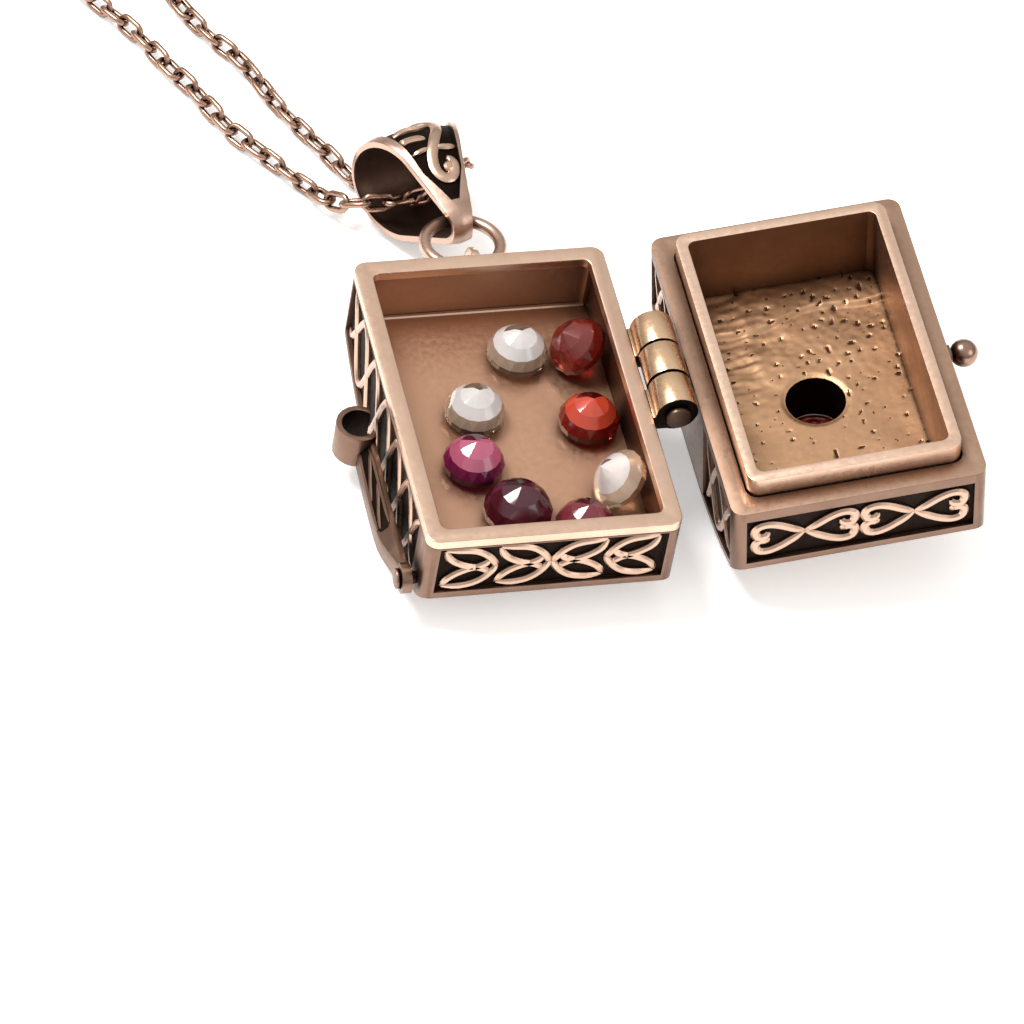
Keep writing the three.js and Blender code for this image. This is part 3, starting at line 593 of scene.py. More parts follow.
def refined_node(name, material, bevel=0.12, segments=3, extra=(), angle=28.0, paint=None):
    """A CAD node's solid with its edges rounded, standing for the node."""
    node = frame["nodes"][name]
    bm = bmesh.new()
    bm.from_mesh(node.data)
    bmesh.ops.scale(bm, vec=(1 / MM, 1 / MM, 1 / MM), verts=bm.verts)
    bmesh.ops.remove_doubles(bm, verts=bm.verts, dist=1e-4)
    bmesh.ops.dissolve_limit(bm, angle_limit=math.radians(0.6), verts=bm.verts, edges=bm.edges)
    if bevel:
        limit = math.radians(angle)
        sharp = [edge for edge in bm.edges if edge.is_manifold and edge.calc_face_angle(0.0) > limit]
        bmesh.ops.bevel(
            bm, geom=sharp, offset=bevel, offset_type="OFFSET", segments=segments, profile=0.5,
            affect="EDGES", material=-1, clamp_overlap=True,
        )
    if paint:
        for face in bm.faces:
            face.material_index = paint(face)
    piece = finish_piece(f"{name}_finished", bm, body_of(node)[0], [material, *extra])
    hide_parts(name)
    return piece


# The chain: a cable chain whose links turn about a quarter from one to the next
CHAIN_LINK = 2.3
CHAIN_WIDTH = 1.38
CHAIN_WIRE = 0.4
CHAIN_PITCH = 1.44
TABLE_Z = CHAIN / 2 + TABLE_GAP
LINK_BEND_STEPS = 7
WIRE_SIDES = 6
LINK_ROLLS = (-66, 24)
ROLL_SPREAD = 18
ROUTE_STEPS = 12
END_GAP = 0.3
COIL_OUTER = 9.2
COIL_PITCH = 1.9
COIL_TURNS = 1.75
COIL_CLIMB = 0.5
COIL_TAIL = 0.25
COIL_TAIL_OUT = 2.6
COIL_TAIL_DROP = 0.35
COIL_START_Y = 51.6
COIL_STEPS = 24
LAYER_RISE = CHAIN + 0.45

LOWER_ROUTE = [
    (-0.9, 22.1, 2.05), (-2.8, 21.6, 2.3), (-4.35, 21.55, 2.4), (-5.65, 22.15, 1.85), (-6.5, 23.25, 1.15),
    (-7.2, 24.4, 0.85), (-8.2, 25.8), (-9.9, 28.2), (-11.1, 29.8), (-12, 31.5), (-13.3, 34.4), (-14.2, 35.9),
    (-15, 37.6), (-16.2, 39.9), (-17.8, 42.3), (-19.2, 44.8), (-20, 47.3),
]
UPPER_ROUTE = [
    (-0.7, 26), (-1.9, 25.6), (-3.2, 25.2), (-4.3, 25.3), (-5, 26.5), (-5.7, 27.9), (-6.5, 29.3),
    (-7.9, 32.1), (-9.1, 35.3), (-9.9, 36.9), (-11, 38.5), (-12.1, 40.6), (-13, 43), (-13.4, 46),
]
TURN_ROUTE = [
    (-0.3, 22.3, 2), (0.8, 23, 2.15), (1.8, 23.65, 2.6), (2.6, 24.55, 2.2), (2.1, 25.7, 1.45),
    (0.8, 26.3, 0.9),
]


def smoothstep(value, low, high):
    t = min(max((value - low) / (high - low), 0.0), 1.0)
    return t * t * (3 - 2 * t)


def coil_points(start_x, turn):
    """Two layers of turns that spiral in, climb, spiral out and come down to the table."""
    centre_x = start_x - turn * COIL_OUTER
    reversal = COIL_TURNS + COIL_CLIMB / 2
    layered = 2 * reversal
    total = layered + COIL_TAIL
    count = round(total * COIL_STEPS)
    points = []
    for i in range(count + 1):
        turns = total * i / count
        climb = min(max((turns - COIL_TURNS) / COIL_CLIMB, 0.0), 1.0)
        tail = min(max((turns - layered) / COIL_TAIL, 0.0), 1.0)
        wound = reversal - abs(min(turns, layered) - reversal)
        radius = COIL_OUTER - COIL_PITCH * wound + COIL_TAIL_OUT * smoothstep(tail, 0, 1)
        height = smoothstep(climb, 0, 1) - smoothstep(tail, COIL_TAIL_DROP, 1)
        angle = turns * math.tau
        points.append(Vector((
            centre_x + turn * radius * math.cos(angle),
            COIL_START_Y + radius * math.sin(angle),
            TABLE_Z + LAYER_RISE * height,
        )))
    points.insert(0, points[0] - Vector((0, CHAIN, 0)))
    points.append(points[-1] - Vector((turn * CHAIN, 0, 0)))
    return points


def chain_line(route, end_x, turn):
    """One side of the chain as close points, from the bail over the table into its coil."""
    spots = [Vector((*spot, TABLE_Z)[:3]) for spot in route]
    coil = coil_points(end_x, turn)
    spots.append(coil[0] - Vector((0, END_GAP, 0)))
    spots += coil
    return [Vector(point) for point in smooth_path([tuple(spot) for spot in spots], ROUTE_STEPS)]


def line_at(line, step):
    """Points and directions every step along a line."""
    found = []
    travelled = 0.0
    due = 0.0
    for a, b in zip(line, line[1:]):
        span = (b - a).length
        while due <= travelled + span and span > 0:
            found.append((a.lerp(b, (due - travelled) / span), (b - a).normalized()))
            due += step
        travelled += span
    return found, travelled


def link_mesh():
    """One cable link, lying in the XZ plane with its length along Z."""
    bm = bmesh.new()
    straight = (CHAIN_LINK - CHAIN_WIDTH) / 2
    bend = (CHAIN_WIDTH - CHAIN_WIRE) / 2
    stations = []
    for end in (0, 1):
        for i in range(LINK_BEND_STEPS):
            angle = math.pi * i / (LINK_BEND_STEPS - 1) + math.pi * end
            centre_z = straight if end == 0 else -straight
            point = Vector((bend * math.cos(angle), 0, centre_z + bend * math.sin(angle)))
            along = Vector((-math.sin(angle), 0, math.cos(angle)))
            stations.append(station(point, along, Vector((0, 1, 0))))
    turns = [math.tau * i / WIRE_SIDES for i in range(WIRE_SIDES)]
    section = [(CHAIN_WIRE / 2 * math.cos(turn), CHAIN_WIRE / 2 * math.sin(turn)) for turn in turns]
    sweep(bm, stations, section, closed=True)
    bmesh.ops.recalc_face_normals(bm, faces=bm.faces)
    mesh = bpy.data.meshes.new("link")
    bm.to_mesh(mesh)
    bm.free()
    return mesh


def add_chain(name, line, nodes, seed):
    """Links along a line, each rolled a little off its own of the two ways, as one cord."""
    link = link_mesh()
    spots, length = line_at(line, CHAIN_PITCH)
    draw = random.Random(seed)
    bm = bmesh.new()
    count = len(link.vertices)
    for i, (point, along) in enumerate(spots):
        roll = math.radians(LINK_ROLLS[i % 2] + draw.uniform(-ROLL_SPREAD, ROLL_SPREAD))
        frame_here = station(point, along, Vector((0, 0, 1)))
        bm.from_mesh(link)
        bm.verts.ensure_lookup_table()
        placed = bm.verts[i * count:(i + 1) * count]
        bmesh.ops.transform(bm, matrix=frame_here @ Matrix.Rotation(roll, 4, "Z"), verts=placed)
    bpy.data.meshes.remove(link)
    piece = finish_piece(name, bm, "necklace", [chain_metal], smooth=80)
    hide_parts(*nodes)
    path = [tuple(point * MM) for point in line]
    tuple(path[0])


LOWER_END_X = -20.3
UPPER_END_X = -13.5
lower_line = chain_line(LOWER_ROUTE, LOWER_END_X, 1)
upper_line = chain_line(TURN_ROUTE + UPPER_ROUTE, UPPER_END_X, -1)


# Clasp and end rings
END_RING_RADIUS = 1.55
END_RING_WIRE = 0.3


def add_torus(name, node, place, radius, wire, material, segments=40, sides=12):
    bm = bmesh.new()
    circle = bmesh.ops.create_circle(bm, segments=sides, radius=wire)["verts"]
    bmesh.ops.rotate(bm, verts=circle, cent=(0, 0, 0), matrix=Matrix.Rotation(math.pi / 2, 3, "X"))
    bmesh.ops.translate(bm, verts=circle, vec=(radius, 0, 0))
    bmesh.ops.spin(
        bm, geom=bm.verts[:] + bm.edges[:], cent=(0, 0, 0), axis=(0, 0, 1), angle=math.tau, steps=segments,
        use_merge=True,
    )
    bmesh.ops.remove_doubles(bm, verts=bm.verts, dist=1e-4)
    bmesh.ops.recalc_face_normals(bm, faces=bm.faces)
    body = body_of(frame["nodes"][node])[0]
    piece = finish_piece(name, bm, body, [material], place, smooth=80)
    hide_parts(node)
    return piece


def node_centre(node):
    low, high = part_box(node)
    return (low + high) / (2 * MM)


def add_end_ring(node):
    """One of the two small rings at the chain's ends, where its solid is."""
    return add_torus(
        f"{node}_round", node, Matrix.Translation(node_centre(node)), END_RING_RADIUS, END_RING_WIRE,
        chain_metal,
    )


clasp_ring = add_end_ring("clasp_ring")
end_ring = add_end_ring("end_ring")
clasp_body = refined_node("clasp_body", rose_polished, bevel=0.18)
clasp_lever = refined_node("clasp_lever", rose_polished, bevel=0.08, segments=2)
clasp_pin = refined_node("clasp_pin", dark_metal, bevel=0.05, segments=2)
add_chain(
    "chain_lower", lower_line, ["chain_strand_lower", "chain_coil_lower"],
    seed=3,
)
add_chain(
    "chain_upper", upper_line, ["chain_turn", "chain_strand_upper", "chain_coil_upper"], seed=8,
)


# Tray and lid shells, with the recessed panels blackened
def arch_z(y):
    return -(WALL_DEPTH + DOME_RISE) + ARCH_RADIUS - math.sqrt(ARCH_RADIUS ** 2 - y ** 2)


OUTSIDE, RECESS, INSIDE, LEDGE, SHADED_SIDE_WALL = range(5)


def recess_paint(place):
    """Which of a shell's five materials a face has, by where it lies."""
    back = place.inverted()

    def paint(face):
        centre = back @ face.calc_center_median()
        direction = back.to_3x3() @ face.normal
        for axis, half in ((0, BOX_WIDTH / 2), (1, BOX_LENGTH / 2)):
            depth = half - abs(centre[axis])
            outward = direction[axis] * math.copysign(1, centre[axis]) > 0.9
            if outward and 0.6 * PANEL_DEPTH < depth < 1.2 * PANEL_DEPTH:
                return RECESS
        if math.hypot(centre.x, centre.y) < LID_BORE + 0.1 and abs(direction.z) < 0.5:
            return RECESS
        if centre.z > -0.03:
            return LEDGE
        inside = abs(centre.x) < BOX_WIDTH / 2 - 0.5 and abs(centre.y) < BOX_LENGTH / 2 - 0.5
        if inside and centre.z > -WALL_DEPTH + 0.3:
            # Inner faces that face sideways take the painted shade of the side walls.
            return SHADED_SIDE_WALL if abs(direction.x) > 0.7 else INSIDE
        return OUTSIDE

    return paint


def lip_paint(face):
    """Slot 1 for the lip's inner faces."""
    back = LID_PLACE.inverted()
    centre = back @ face.calc_center_median()
    direction = back.to_3x3() @ face.normal
    return 1 if direction.x * centre.x + direction.y * centre.y < -1 and abs(direction.z) < 0.5 else 0


def knuckle_paint(face):
    """Slot 1, the blackened metal, for a knuckle's flat ends, as painted shade."""
    return 1 if abs(face.normal.y) > 0.8 else 0


def hood_paint(face):
    """Slot 1, the blackened metal, for the inside of the latch's hood, as painted shade."""
    centre = LATCH_PLACE.inverted() @ face.calc_center_median()
    away = Vector((centre.x + BOX_WIDTH / 2 + SEAT_GAP + HOOD_OUT, centre.y - LATCH_REACH, 0))
    return 1 if away.length < HOOD_INSIDE and face.normal.dot(away) < 0 else 0


refined_node(
    "tray_shell", rose_satin_shaded, bevel=0.14, paint=recess_paint(TRAY_PLACE),
    extra=[oxide_and_shade, tray_plate, ledge_metal, side_wall_shade],
)
refined_node("tray_rim", rose_polished, bevel=0.22, segments=4)
refined_node("tray_floor", tray_plate, bevel=0)
refined_node(
    "lid_shell", rose_satin_shaded, bevel=0.14, paint=recess_paint(LID_PLACE),
    extra=[oxide_and_shade, lid_casting, ledge_metal, side_wall_shade],
)
refined_node(
    "lid_lip", rose_polished, bevel=0.2, segments=4, extra=[lip_inside], paint=lip_paint,
)
for knuckle in ("tray_knuckle_near", "tray_knuckle_far", "lid_knuckle"):
    refined_node(
        knuckle, gold_polished, bevel=0.07, segments=2, extra=[oxide_and_shade], paint=knuckle_paint,
    )
refined_node("hinge_pin", dark_metal, bevel=0.08, segments=2)
refined_node("latch_rivet", rose_satin_shaded, bevel=0.08, segments=2)
refined_node("wall_eye", rose_polished, bevel=0.1, segments=2)
refined_node("ball_stud", ball_metal, bevel=0)
refined_node("face_bezel", rose_polished, bevel=0.1)
refined_node("latch_arm", rose_satin_shaded, bevel=0.14, extra=[oxide_and_shade], paint=hood_paint)
add_torus(
    "jump_ring_round", "jump_ring", RING_PLACE, RING_RADIUS, RING_WIRE, bail_polished,
    segments=56, sides=16,
)


# Stones: faceted all round, with a flat table, a girdle and a swelling point
# Heights, as shares of the stone, where the shaded glass gives way to the ring glass and the ring glass to
# the lit one: painted shade low on a stone, painted light high on it.
SHADED_LEVEL = 0.37
RING_LEVEL = 0.55
CULET_SHADE_LEVEL = 0.8


def add_stone(name, node, place, body, slot, rings, total, turn):
    """A stone from its rings of (corners, radius, height, share of a corner that it is turned by)."""
    bm = bmesh.new()
    spun = place @ Matrix.Rotation(turn, 4, "Z")
    corners = []
    for count, radius, height, shift in rings:
        ring = bmesh.ops.create_circle(bm, cap_ends=False, segments=count, radius=radius)["verts"]
        spin = Matrix.Rotation(math.tau * shift / count, 3, "Z")
        bmesh.ops.rotate(bm, verts=ring, cent=(0, 0, 0), matrix=spin)
        bmesh.ops.translate(bm, verts=ring, vec=(0, 0, height))
        corners += ring
    bmesh.ops.convex_hull(bm, input=corners)
    bmesh.ops.dissolve_limit(bm, angle_limit=math.radians(0.5), verts=bm.verts, edges=bm.edges)
    bmesh.ops.recalc_face_normals(bm, faces=bm.faces)
    for face in bm.faces:
        level = face.calc_center_median().z / total
        outward = spun.to_3x3() @ face.normal
        # Tip facets on the far side take the shaded glass, a painted dark notch at the culet.
        culet_shade = level > CULET_SHADE_LEVEL and outward.y > 0.3 and abs(outward.x) < 0.45
        face.material_index = 0 if level < SHADED_LEVEL or culet_shade else 2 if level < RING_LEVEL else 1
    piece = finish_piece(name, bm, body, GLASSES[slot], spun, smooth=10)
    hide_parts(node)


def loose_rings(size, swell):
    """Rings of a loose stone of a size against the common one, and its height."""
    top = STONE_CROWN + STONE_GIRDLE
    total = top + STONE_PAVILION
    (upper_share, upper_level), (lower_share, lower_level) = swell
    rings = [
        (8, STONE_TABLE, 0, 0), (16, STONE_RADIUS, STONE_CROWN, 0), (16, STONE_RADIUS, top, 0),
        (16, STONE_RADIUS * upper_share, top + STONE_PAVILION * upper_level, 0.5),
        (16, STONE_RADIUS * lower_share, top + STONE_PAVILION * lower_level, 0),
        (8, STONE_RADIUS * lower_share * 0.42, top + STONE_PAVILION * 0.905, 0.5),
        (4, STONE_TIP, total, 0),
    ]
    sized = [(count, radius * size, height * size, shift) for count, radius, height, shift in rings]
    return sized, total * size


WALL_X = BOX_WIDTH / 2 - TRAY_WALL
LOOSE_STONES = [
    ("stone_clear_far", 2.8, 3.39, 1, "clear_glass", 0.3),
    ("stone_clear_left", 4.74, 0.99, 1, "clear_glass", 0.1),
    ("stone_pink", 5.23, -1.17, 1, "pink_glass", 0.5),
    ("stone_orange", 1.1, 0.26, 1, "orange_glass", 0.2),
    ("stone_purple", 4.25, -3.33, 1.12, "purple_glass", 0.6),
    ("stone_rose", 2.2, -4.2, 1, "rose_glass", 0.35),
]
LEANING_STONES = [
    ("stone_red", 3.05, 40, "red_glass", 0.4, STONE_SWELL),
    ("stone_clear_near", -2.75, 46, "clear_glass", 0.2, STONE_LEAN_SWELL),
]

for name, from_wall, along, size, slot, turn in LOOSE_STONES:
    spot = (WALL_X - from_wall * STONE_RADIUS, along * STONE_RADIUS, -TRAY_DEPTH)
    place = TRAY_PLACE @ Matrix.Translation(spot)
    add_stone(f"{name}_cut", name, place, "tray", slot, *loose_rings(size, STONE_SWELL), turn)

for name, along, degrees, slot, turn, swell in LEANING_STONES:
    lean = math.radians(degrees)
    girdle_reach = STONE_RADIUS * math.cos(lean) - STONE_CROWN * math.sin(lean)
    reach_x = max(girdle_reach, STONE_TABLE * math.cos(lean))
    reach_z = STONE_RADIUS * math.sin(lean) - STONE_CROWN * math.cos(lean)
    spot = (WALL_X - SEAT_GAP - reach_x, along * STONE_RADIUS, -TRAY_DEPTH + SEAT_GAP + reach_z)
    place = TRAY_PLACE @ Matrix.Translation(spot) @ Matrix.Rotation(-lean, 4, "Y")
    add_stone(f"{name}_cut", name, place, "tray", slot, *loose_rings(1, swell), turn)

FACE_TOP = 1.3
FACE_RADIUS = 2.2
FACE_RINGS = [
    (8, 1.2, FACE_TOP, 0), (16, FACE_RADIUS, 0.84, 0), (16, FACE_RADIUS, 0.72, 0), (8, 0.8, -0.5, 0.5),
    (4, STONE_TIP, -1.13, 0),
]
face_place = LID_PLACE @ Matrix.Translation((0, 0, DOME_FLAT)) @ Matrix.Rotation(math.pi, 4, "X")
add_stone("face_stone_cut", "face_stone", face_place, "lid", "garnet_glass", FACE_RINGS, FACE_TOP, 0.2)


# The bail: a crowned band round two circles, recessed between polished borders
BAIL_TOUCH = math.acos((BAIL_FOOT - BAIL_TOP) / BAIL_REACH)
BAIL_STRAIGHT = math.sqrt(BAIL_REACH ** 2 - (BAIL_TOP - BAIL_FOOT) ** 2)
BAIL_SPAN = BAIL_FOOT + BAIL_REACH + BAIL_TOP
BAIL_RECESS = 0.26
BAIL_LEFT = -0.76
BAIL_RIGHT = 0.86
BAIL_STEPS = 150
RECESS_START = 0.15


def bail_middle(run):
    """Point and outward direction in the (y, z) plane at a run from the upper tangent's foot."""
    foot_turn = 2 * (math.pi - BAIL_TOUCH) * BAIL_FOOT
    spans = (BAIL_STRAIGHT, 2 * BAIL_TOUCH * BAIL_TOP, BAIL_STRAIGHT, foot_turn)
    run %= sum(spans)
    if run < spans[0]:
        share = run / spans[0]
        angle, centre, radius = BAIL_TOUCH, BAIL_REACH * share, BAIL_FOOT + (BAIL_TOP - BAIL_FOOT) * share
    elif run < spans[0] + spans[1]:
        angle, centre, radius = BAIL_TOUCH - (run - spans[0]) / BAIL_TOP, BAIL_REACH, BAIL_TOP
    elif run < spans[0] + spans[1] + spans[2]:
        share = 1 - (run - spans[0] - spans[1]) / spans[2]
        angle, centre, radius = -BAIL_TOUCH, BAIL_REACH * share, BAIL_FOOT + (BAIL_TOP - BAIL_FOOT) * share
    else:
        angle, centre, radius = -BAIL_TOUCH - (run - sum(spans[:3])) / BAIL_FOOT, 0, BAIL_FOOT
    out = Vector((0, math.cos(angle), math.sin(angle)))
    return Vector((0, centre, 0)) + out * radius, out


BAIL_LENGTH = 2 * BAIL_STRAIGHT + 2 * BAIL_TOUCH * BAIL_TOP + 2 * (math.pi - BAIL_TOUCH) * BAIL_FOOT


def bail_point(run, share, inset):
    """A point of the band at a share of its half width, inset from the outer face."""
    middle, out = bail_middle(run)
    along = (middle.y + BAIL_FOOT) / BAIL_SPAN
    half = (BAIL_FOOT_WIDTH + (BAIL_TOP_WIDTH - BAIL_FOOT_WIDTH) * along) / 2
    crown = BAIL_CROWN * half * 2 / BAIL_TOP_WIDTH
    return middle + Vector((half * share, 0, 0)) - out * (inset + crown * share ** 2), along


# Around the section: share of the half width, and 0 outer face, 1 recess, 2 inner face or values between
BAIL_SECTION = [
    (-1, 0.14), (-0.97, 0), (-0.87, 0), (BAIL_LEFT, 0), (-0.74, 1), (-0.5, 1), (-0.25, 1), (0, 1),
    (0.25, 1), (0.5, 1), (0.84, 1), (BAIL_RIGHT, 0), (0.91, 0), (0.97, 0), (1, 0.14), (1, 1.85), (0.95, 2),
    (0.6, 2), (0.3, 2), (0, 2), (-0.3, 2), (-0.6, 2), (-0.95, 2), (-1, 1.85),
]


def bail_spread(along):
    """How far the recess has opened from its point near the foot to its full share of the width."""
    return min(max((along - 0.1) / 0.24, 0.04), 1) ** 0.62


def bail_inset(level, along):
    """Depth under the outer face, with the recess running out towards the foot."""
    if level <= 1:
        return level * BAIL_RECESS * smoothstep(along, 0.13, 0.2)
    return (level - 1) * BAIL_THICKNESS


def bail_upper(run, share):
    """The recess floor on the upper side, as a point and a normal."""
    return bail_point(run, share, BAIL_RECESS + 0.02)[0], bail_middle(run)[1]


def bail_under(run, share):
    """The recess floor on the side that lies on the table, where the scrolls are mirrored."""
    return bail_upper(2 * BAIL_STRAIGHT + 2 * BAIL_TOUCH * BAIL_TOP - run, share)


BAIL_SCROLLS = [
    ([
        (9, 0), (8.2, 0.25), (7.2, 0.42), (6.4, 0.4), (5.8, 0.3), (5.2, 0.16), (4.7, 0.04), (4.2, -0.08),
        (3.8, -0.15), (3.4, -0.2), (3, -0.2), (2.7, -0.14), (2.45, -0.02), (2.35, 0.14), (2.4, 0.32),
        (2.65, 0.48), (3, 0.55), (3.3, 0.55), (3.55, 0.45), (3.55, 0.34),
    ], 0.7),
    ([(3.55, 0.3), (3.2, 0.34), (2.8, 0.28)], 0.62),
    ([(5.7, -0.02), (5.85, -0.3), (5.9, -0.55), (5.8, -0.72)], 0.56),
    ([(4.75, -0.05), (4.65, -0.4), (4.5, -0.68)], 0.34),
    ([(4.75, 0.1), (4.6, 0.45), (4.55, 0.8)], 0.44),
    ([(7.1, -0.62), (7.35, -0.3), (7.2, 0), (7.5, 0.35)], 0.56),
]


def add_bail():
    bm = bmesh.new()
    count = len(BAIL_SECTION)
    bmesh.ops.create_grid(bm, x_segments=count, y_segments=BAIL_STEPS, size=1)
    for face in bm.faces:
        centre = face.calc_center_median()
        index = int((centre.x + 1) / 2 * count)
        run = (centre.y + 1) / 2 * BAIL_LENGTH
        wide = bail_point(run, 0, 0)[1] > RECESS_START
        first, second = BAIL_SECTION[index][1], BAIL_SECTION[(index + 1) % count][1]
        face.material_index = 1 if wide and first == second == 1 else 2 if first + second > 3.5 else 0
    for vert in bm.verts:
        share, level = BAIL_SECTION[round((vert.co.x + 1) / 2 * count) % count]
        run = (vert.co.y + 1) / 2 * BAIL_LENGTH
        along = bail_point(run, 0, 0)[1]
        if BAIL_LEFT <= share <= BAIL_RIGHT and level <= 1:
            share *= bail_spread(along)
        vert.co = bail_point(run, share, bail_inset(level, along))[0]
    bmesh.ops.remove_doubles(bm, verts=bm.verts, dist=1e-4)
    bmesh.ops.recalc_face_normals(bm, faces=bm.faces)
    scrolls = bmesh.new()
    for path, width in BAIL_SCROLLS:
        fine = smooth_path(path, 4)
        add_ribbon(scrolls, bail_upper, fine, width, BAIL_RECESS)
        add_ribbon(scrolls, bail_under, fine, width, BAIL_RECESS)
    bmesh.ops.recalc_face_normals(scrolls, faces=scrolls.faces)
    finish_piece("bail_scrolls", scrolls, "necklace", [relief_metal], BAIL_PLACE)
    band_metals = [bail_polished, oxide_and_shade, bail_inside]
    piece = finish_piece("bail_scrolled", bm, "necklace", band_metals, BAIL_PLACE)
    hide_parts("bail")


add_bail()


# Relief: a flat wall panel's surface, as (u, v) to a point and a normal in the half box's own frame
def wall_panel(axis, side, depth):
    """Panel on the wall at side -1 or +1 of axis x or y: u runs along the wall, v is the height."""
    half = (BOX_WIDTH if axis == "x" else BOX_LENGTH) / 2 - depth

    def surface(u, v):
        if axis == "y":
            return Vector((u, side * half, v)), Vector((0, side, 0))
        return Vector((side * half, u, v)), Vector((side, 0, 0))

    return surface


RELIEF_HEIGHT = 0.27
LEAF_WIDTH = 0.5
HEART_WIDTH = 0.6
HEART_MIDDLE = 3.45
WAVE_WIDTH = 0.5
WAVE_LENGTH = 3.4
WAVE_MARGIN = 0.35
END_MIDDLE = (-PANEL_TOP - WALL_DEPTH + PANEL_FOOT) / 2
LEAF_OUTER = [(0.02, -0.12), (0.25, 0.35), (0.7, 0.95), (1.4, 1.42), (2.3, 1.6), (3.35, 1.58)]
LEAF_INNER = [(0.45, -0.55), (0.75, -0.3), (1.2, -0.06), (1.9, 0.14), (2.6, 0.5), (3.1, 0.95), (3.4, 1.56)]


def leaf_relief(name, place, side, body, pairs):
    """Pairs of pointed leaves on an end wall: nose x, the way they open and share of the full length."""
    bm = bmesh.new()
    surface = wall_panel("y", side, PANEL_DEPTH)
    for nose_x, way, size in pairs:
        for up in (-1, 1):
            for outline in (LEAF_OUTER, LEAF_INNER):
                path = [(nose_x + way * size * u, END_MIDDLE + up * v) for u, v in smooth_path(outline, 3)]
                add_ribbon(bm, surface, path, LEAF_WIDTH, RELIEF_HEIGHT)
    bmesh.ops.recalc_face_normals(bm, faces=bm.faces)
    finish_piece(name, bm, body, [relief_metal], place)


HEART_PATH = [
    (0, 0), (0.8, 0.5), (1.6, 0.98), (2.35, 1.22), (2.95, 1.08), (3.15, 0.62), (2.95, 0.2), (2.5, 0.18),
    (2.3, 0.48),
]


def heart_relief(name, place, side, body):
    """Two crossed ribbons on an end wall, whose ends curl inwards into hearts."""
    bm = bmesh.new()
    surface = wall_panel("y", side, PANEL_DEPTH)
    for middle in (-HEART_MIDDLE, HEART_MIDDLE):
        for across in (-1, 1):
            for up in (-1, 1):
                path = [(middle + across * u, END_MIDDLE + up * v) for u, v in smooth_path(HEART_PATH, 3)]
                add_ribbon(bm, surface, path, HEART_WIDTH, RELIEF_HEIGHT)
    bmesh.ops.recalc_face_normals(bm, faces=bm.faces)
    finish_piece(name, bm, body, [relief_metal], place)


def wave_relief(name, place, side, body, spans):
    """Two crossing waves along each span of a long wall, as high as its arched panel."""
    bm = bmesh.new()
    surface = wall_panel("x", side, PANEL_DEPTH)
    for low, high in spans:
        waves = max(1, round((high - low) / WAVE_LENGTH))
        for sign in (-1, 1):
            path = []
            steps = waves * 10
            for i in range(steps + 1):
                y = low + (high - low) * i / steps
                foot = max(arch_z(y), DOME_FLAT) + PANEL_FOOT
                middle = (foot - PANEL_TOP) / 2
                half = (-PANEL_TOP - foot) / 2 - WAVE_MARGIN
                path.append((y, middle + sign * half * math.cos(math.pi * waves * i / steps)))
            add_ribbon(bm, surface, path, WAVE_WIDTH, RELIEF_HEIGHT)
    bmesh.ops.recalc_face_normals(bm, faces=bm.faces)
    finish_piece(name, bm, body, [relief_metal], place)


PANEL_MARGIN = 0.2
HINGE_MARGIN = 0.5
BALL_MARGIN = 1.4
LATCH_SPAN_START = -9.2
PANEL_END = BOX_LENGTH / 2 - PANEL_SIDE - PANEL_MARGIN
HINGE_PAD = BARREL_LENGTH / 2 + HINGE_MARGIN + PANEL_MARGIN
BESIDE_HINGE = [(-PANEL_END, HINGE_Y - HINGE_PAD), (HINGE_Y + HINGE_PAD, PANEL_END)]
BESIDE_BALL = [(-PANEL_END, -BALL_MARGIN), (BALL_MARGIN, PANEL_END)]
NEAR_LEAVES = [(-3.35, -1, 1), (-0.02, -1, 0.97), (0.02, 1, 1), (3.4, 1, 0.97)]
FAR_LEAVES = [(-4.05, -1, 0.8), (-1.05, -1, 0.8), (1.05, 1, 0.8), (4.05, 1, 0.8)]
leaf_relief("tray_relief_near", TRAY_PLACE, -1, "tray", NEAR_LEAVES)
leaf_relief("tray_relief_far", TRAY_PLACE, 1, "tray", FAR_LEAVES)
heart_relief("lid_relief_near", LID_PLACE, -1, "lid")
heart_relief("lid_relief_far", LID_PLACE, 1, "lid")
wave_relief("tray_relief_left", TRAY_PLACE, -1, "tray", [(LATCH_SPAN_START, PANEL_END)])
wave_relief("tray_relief_right", TRAY_PLACE, 1, "tray", BESIDE_HINGE)
wave_relief("lid_relief_left", LID_PLACE, -1, "lid", BESIDE_HINGE)
wave_relief("lid_relief_right", LID_PLACE, 1, "lid", BESIDE_BALL)

FILLET_WIDTH = 0.36
FILLET_HEIGHT = 0.16
FILLET_OUT = 0.16


def add_floor_fillet():
    """A soft bead where the tray's floor meets its far wall, in the lighter relief metal as a painted
    highlight along that edge.
    """
    bm = bmesh.new()
    far_wall = BOX_LENGTH / 2 - TRAY_WALL

    def surface(u, v):
        return Vector((u, far_wall - v, -TRAY_DEPTH - 0.02)), Vector((0, 0, 1))

    end = WALL_X - SEAT_GAP
    path = [(-end, FILLET_OUT), (0, FILLET_OUT), (end, FILLET_OUT)]
    add_ribbon(bm, surface, path, FILLET_WIDTH, FILLET_HEIGHT, tip=1)
    bmesh.ops.recalc_face_normals(bm, faces=bm.faces)
    finish_piece("tray_floor_fillet", bm, "tray", [relief_metal], TRAY_PLACE)


add_floor_fillet()


# The lid's floor, rough as it was cast, with a hole over the set stone
CAST_WIDTH = BOX_WIDTH - 2 * LID_STEP - 2 * LIP_THICKNESS
CAST_LENGTH = BOX_LENGTH - 2 * LID_STEP - 2 * LIP_THICKNESS
CAST_LIFT = 0.1
CAST_CELL = 0.1
CAST_LEAST = 0.015
PIT_DEEPEST = 0.07
PIT_SHOWS = 0.006


def pit_depth(x, y):
    """Depth of the small pits, which crowd in the far right of the skin."""
    crowd = smoothstep(y, -6, 4) * smoothstep(x, -6, 2)
    return min(PIT_DEEPEST, 0.6 * max(0, noise.noise(Vector((x * 2.6, y * 2.6, 11))) - 0.52 + 0.1 * crowd))


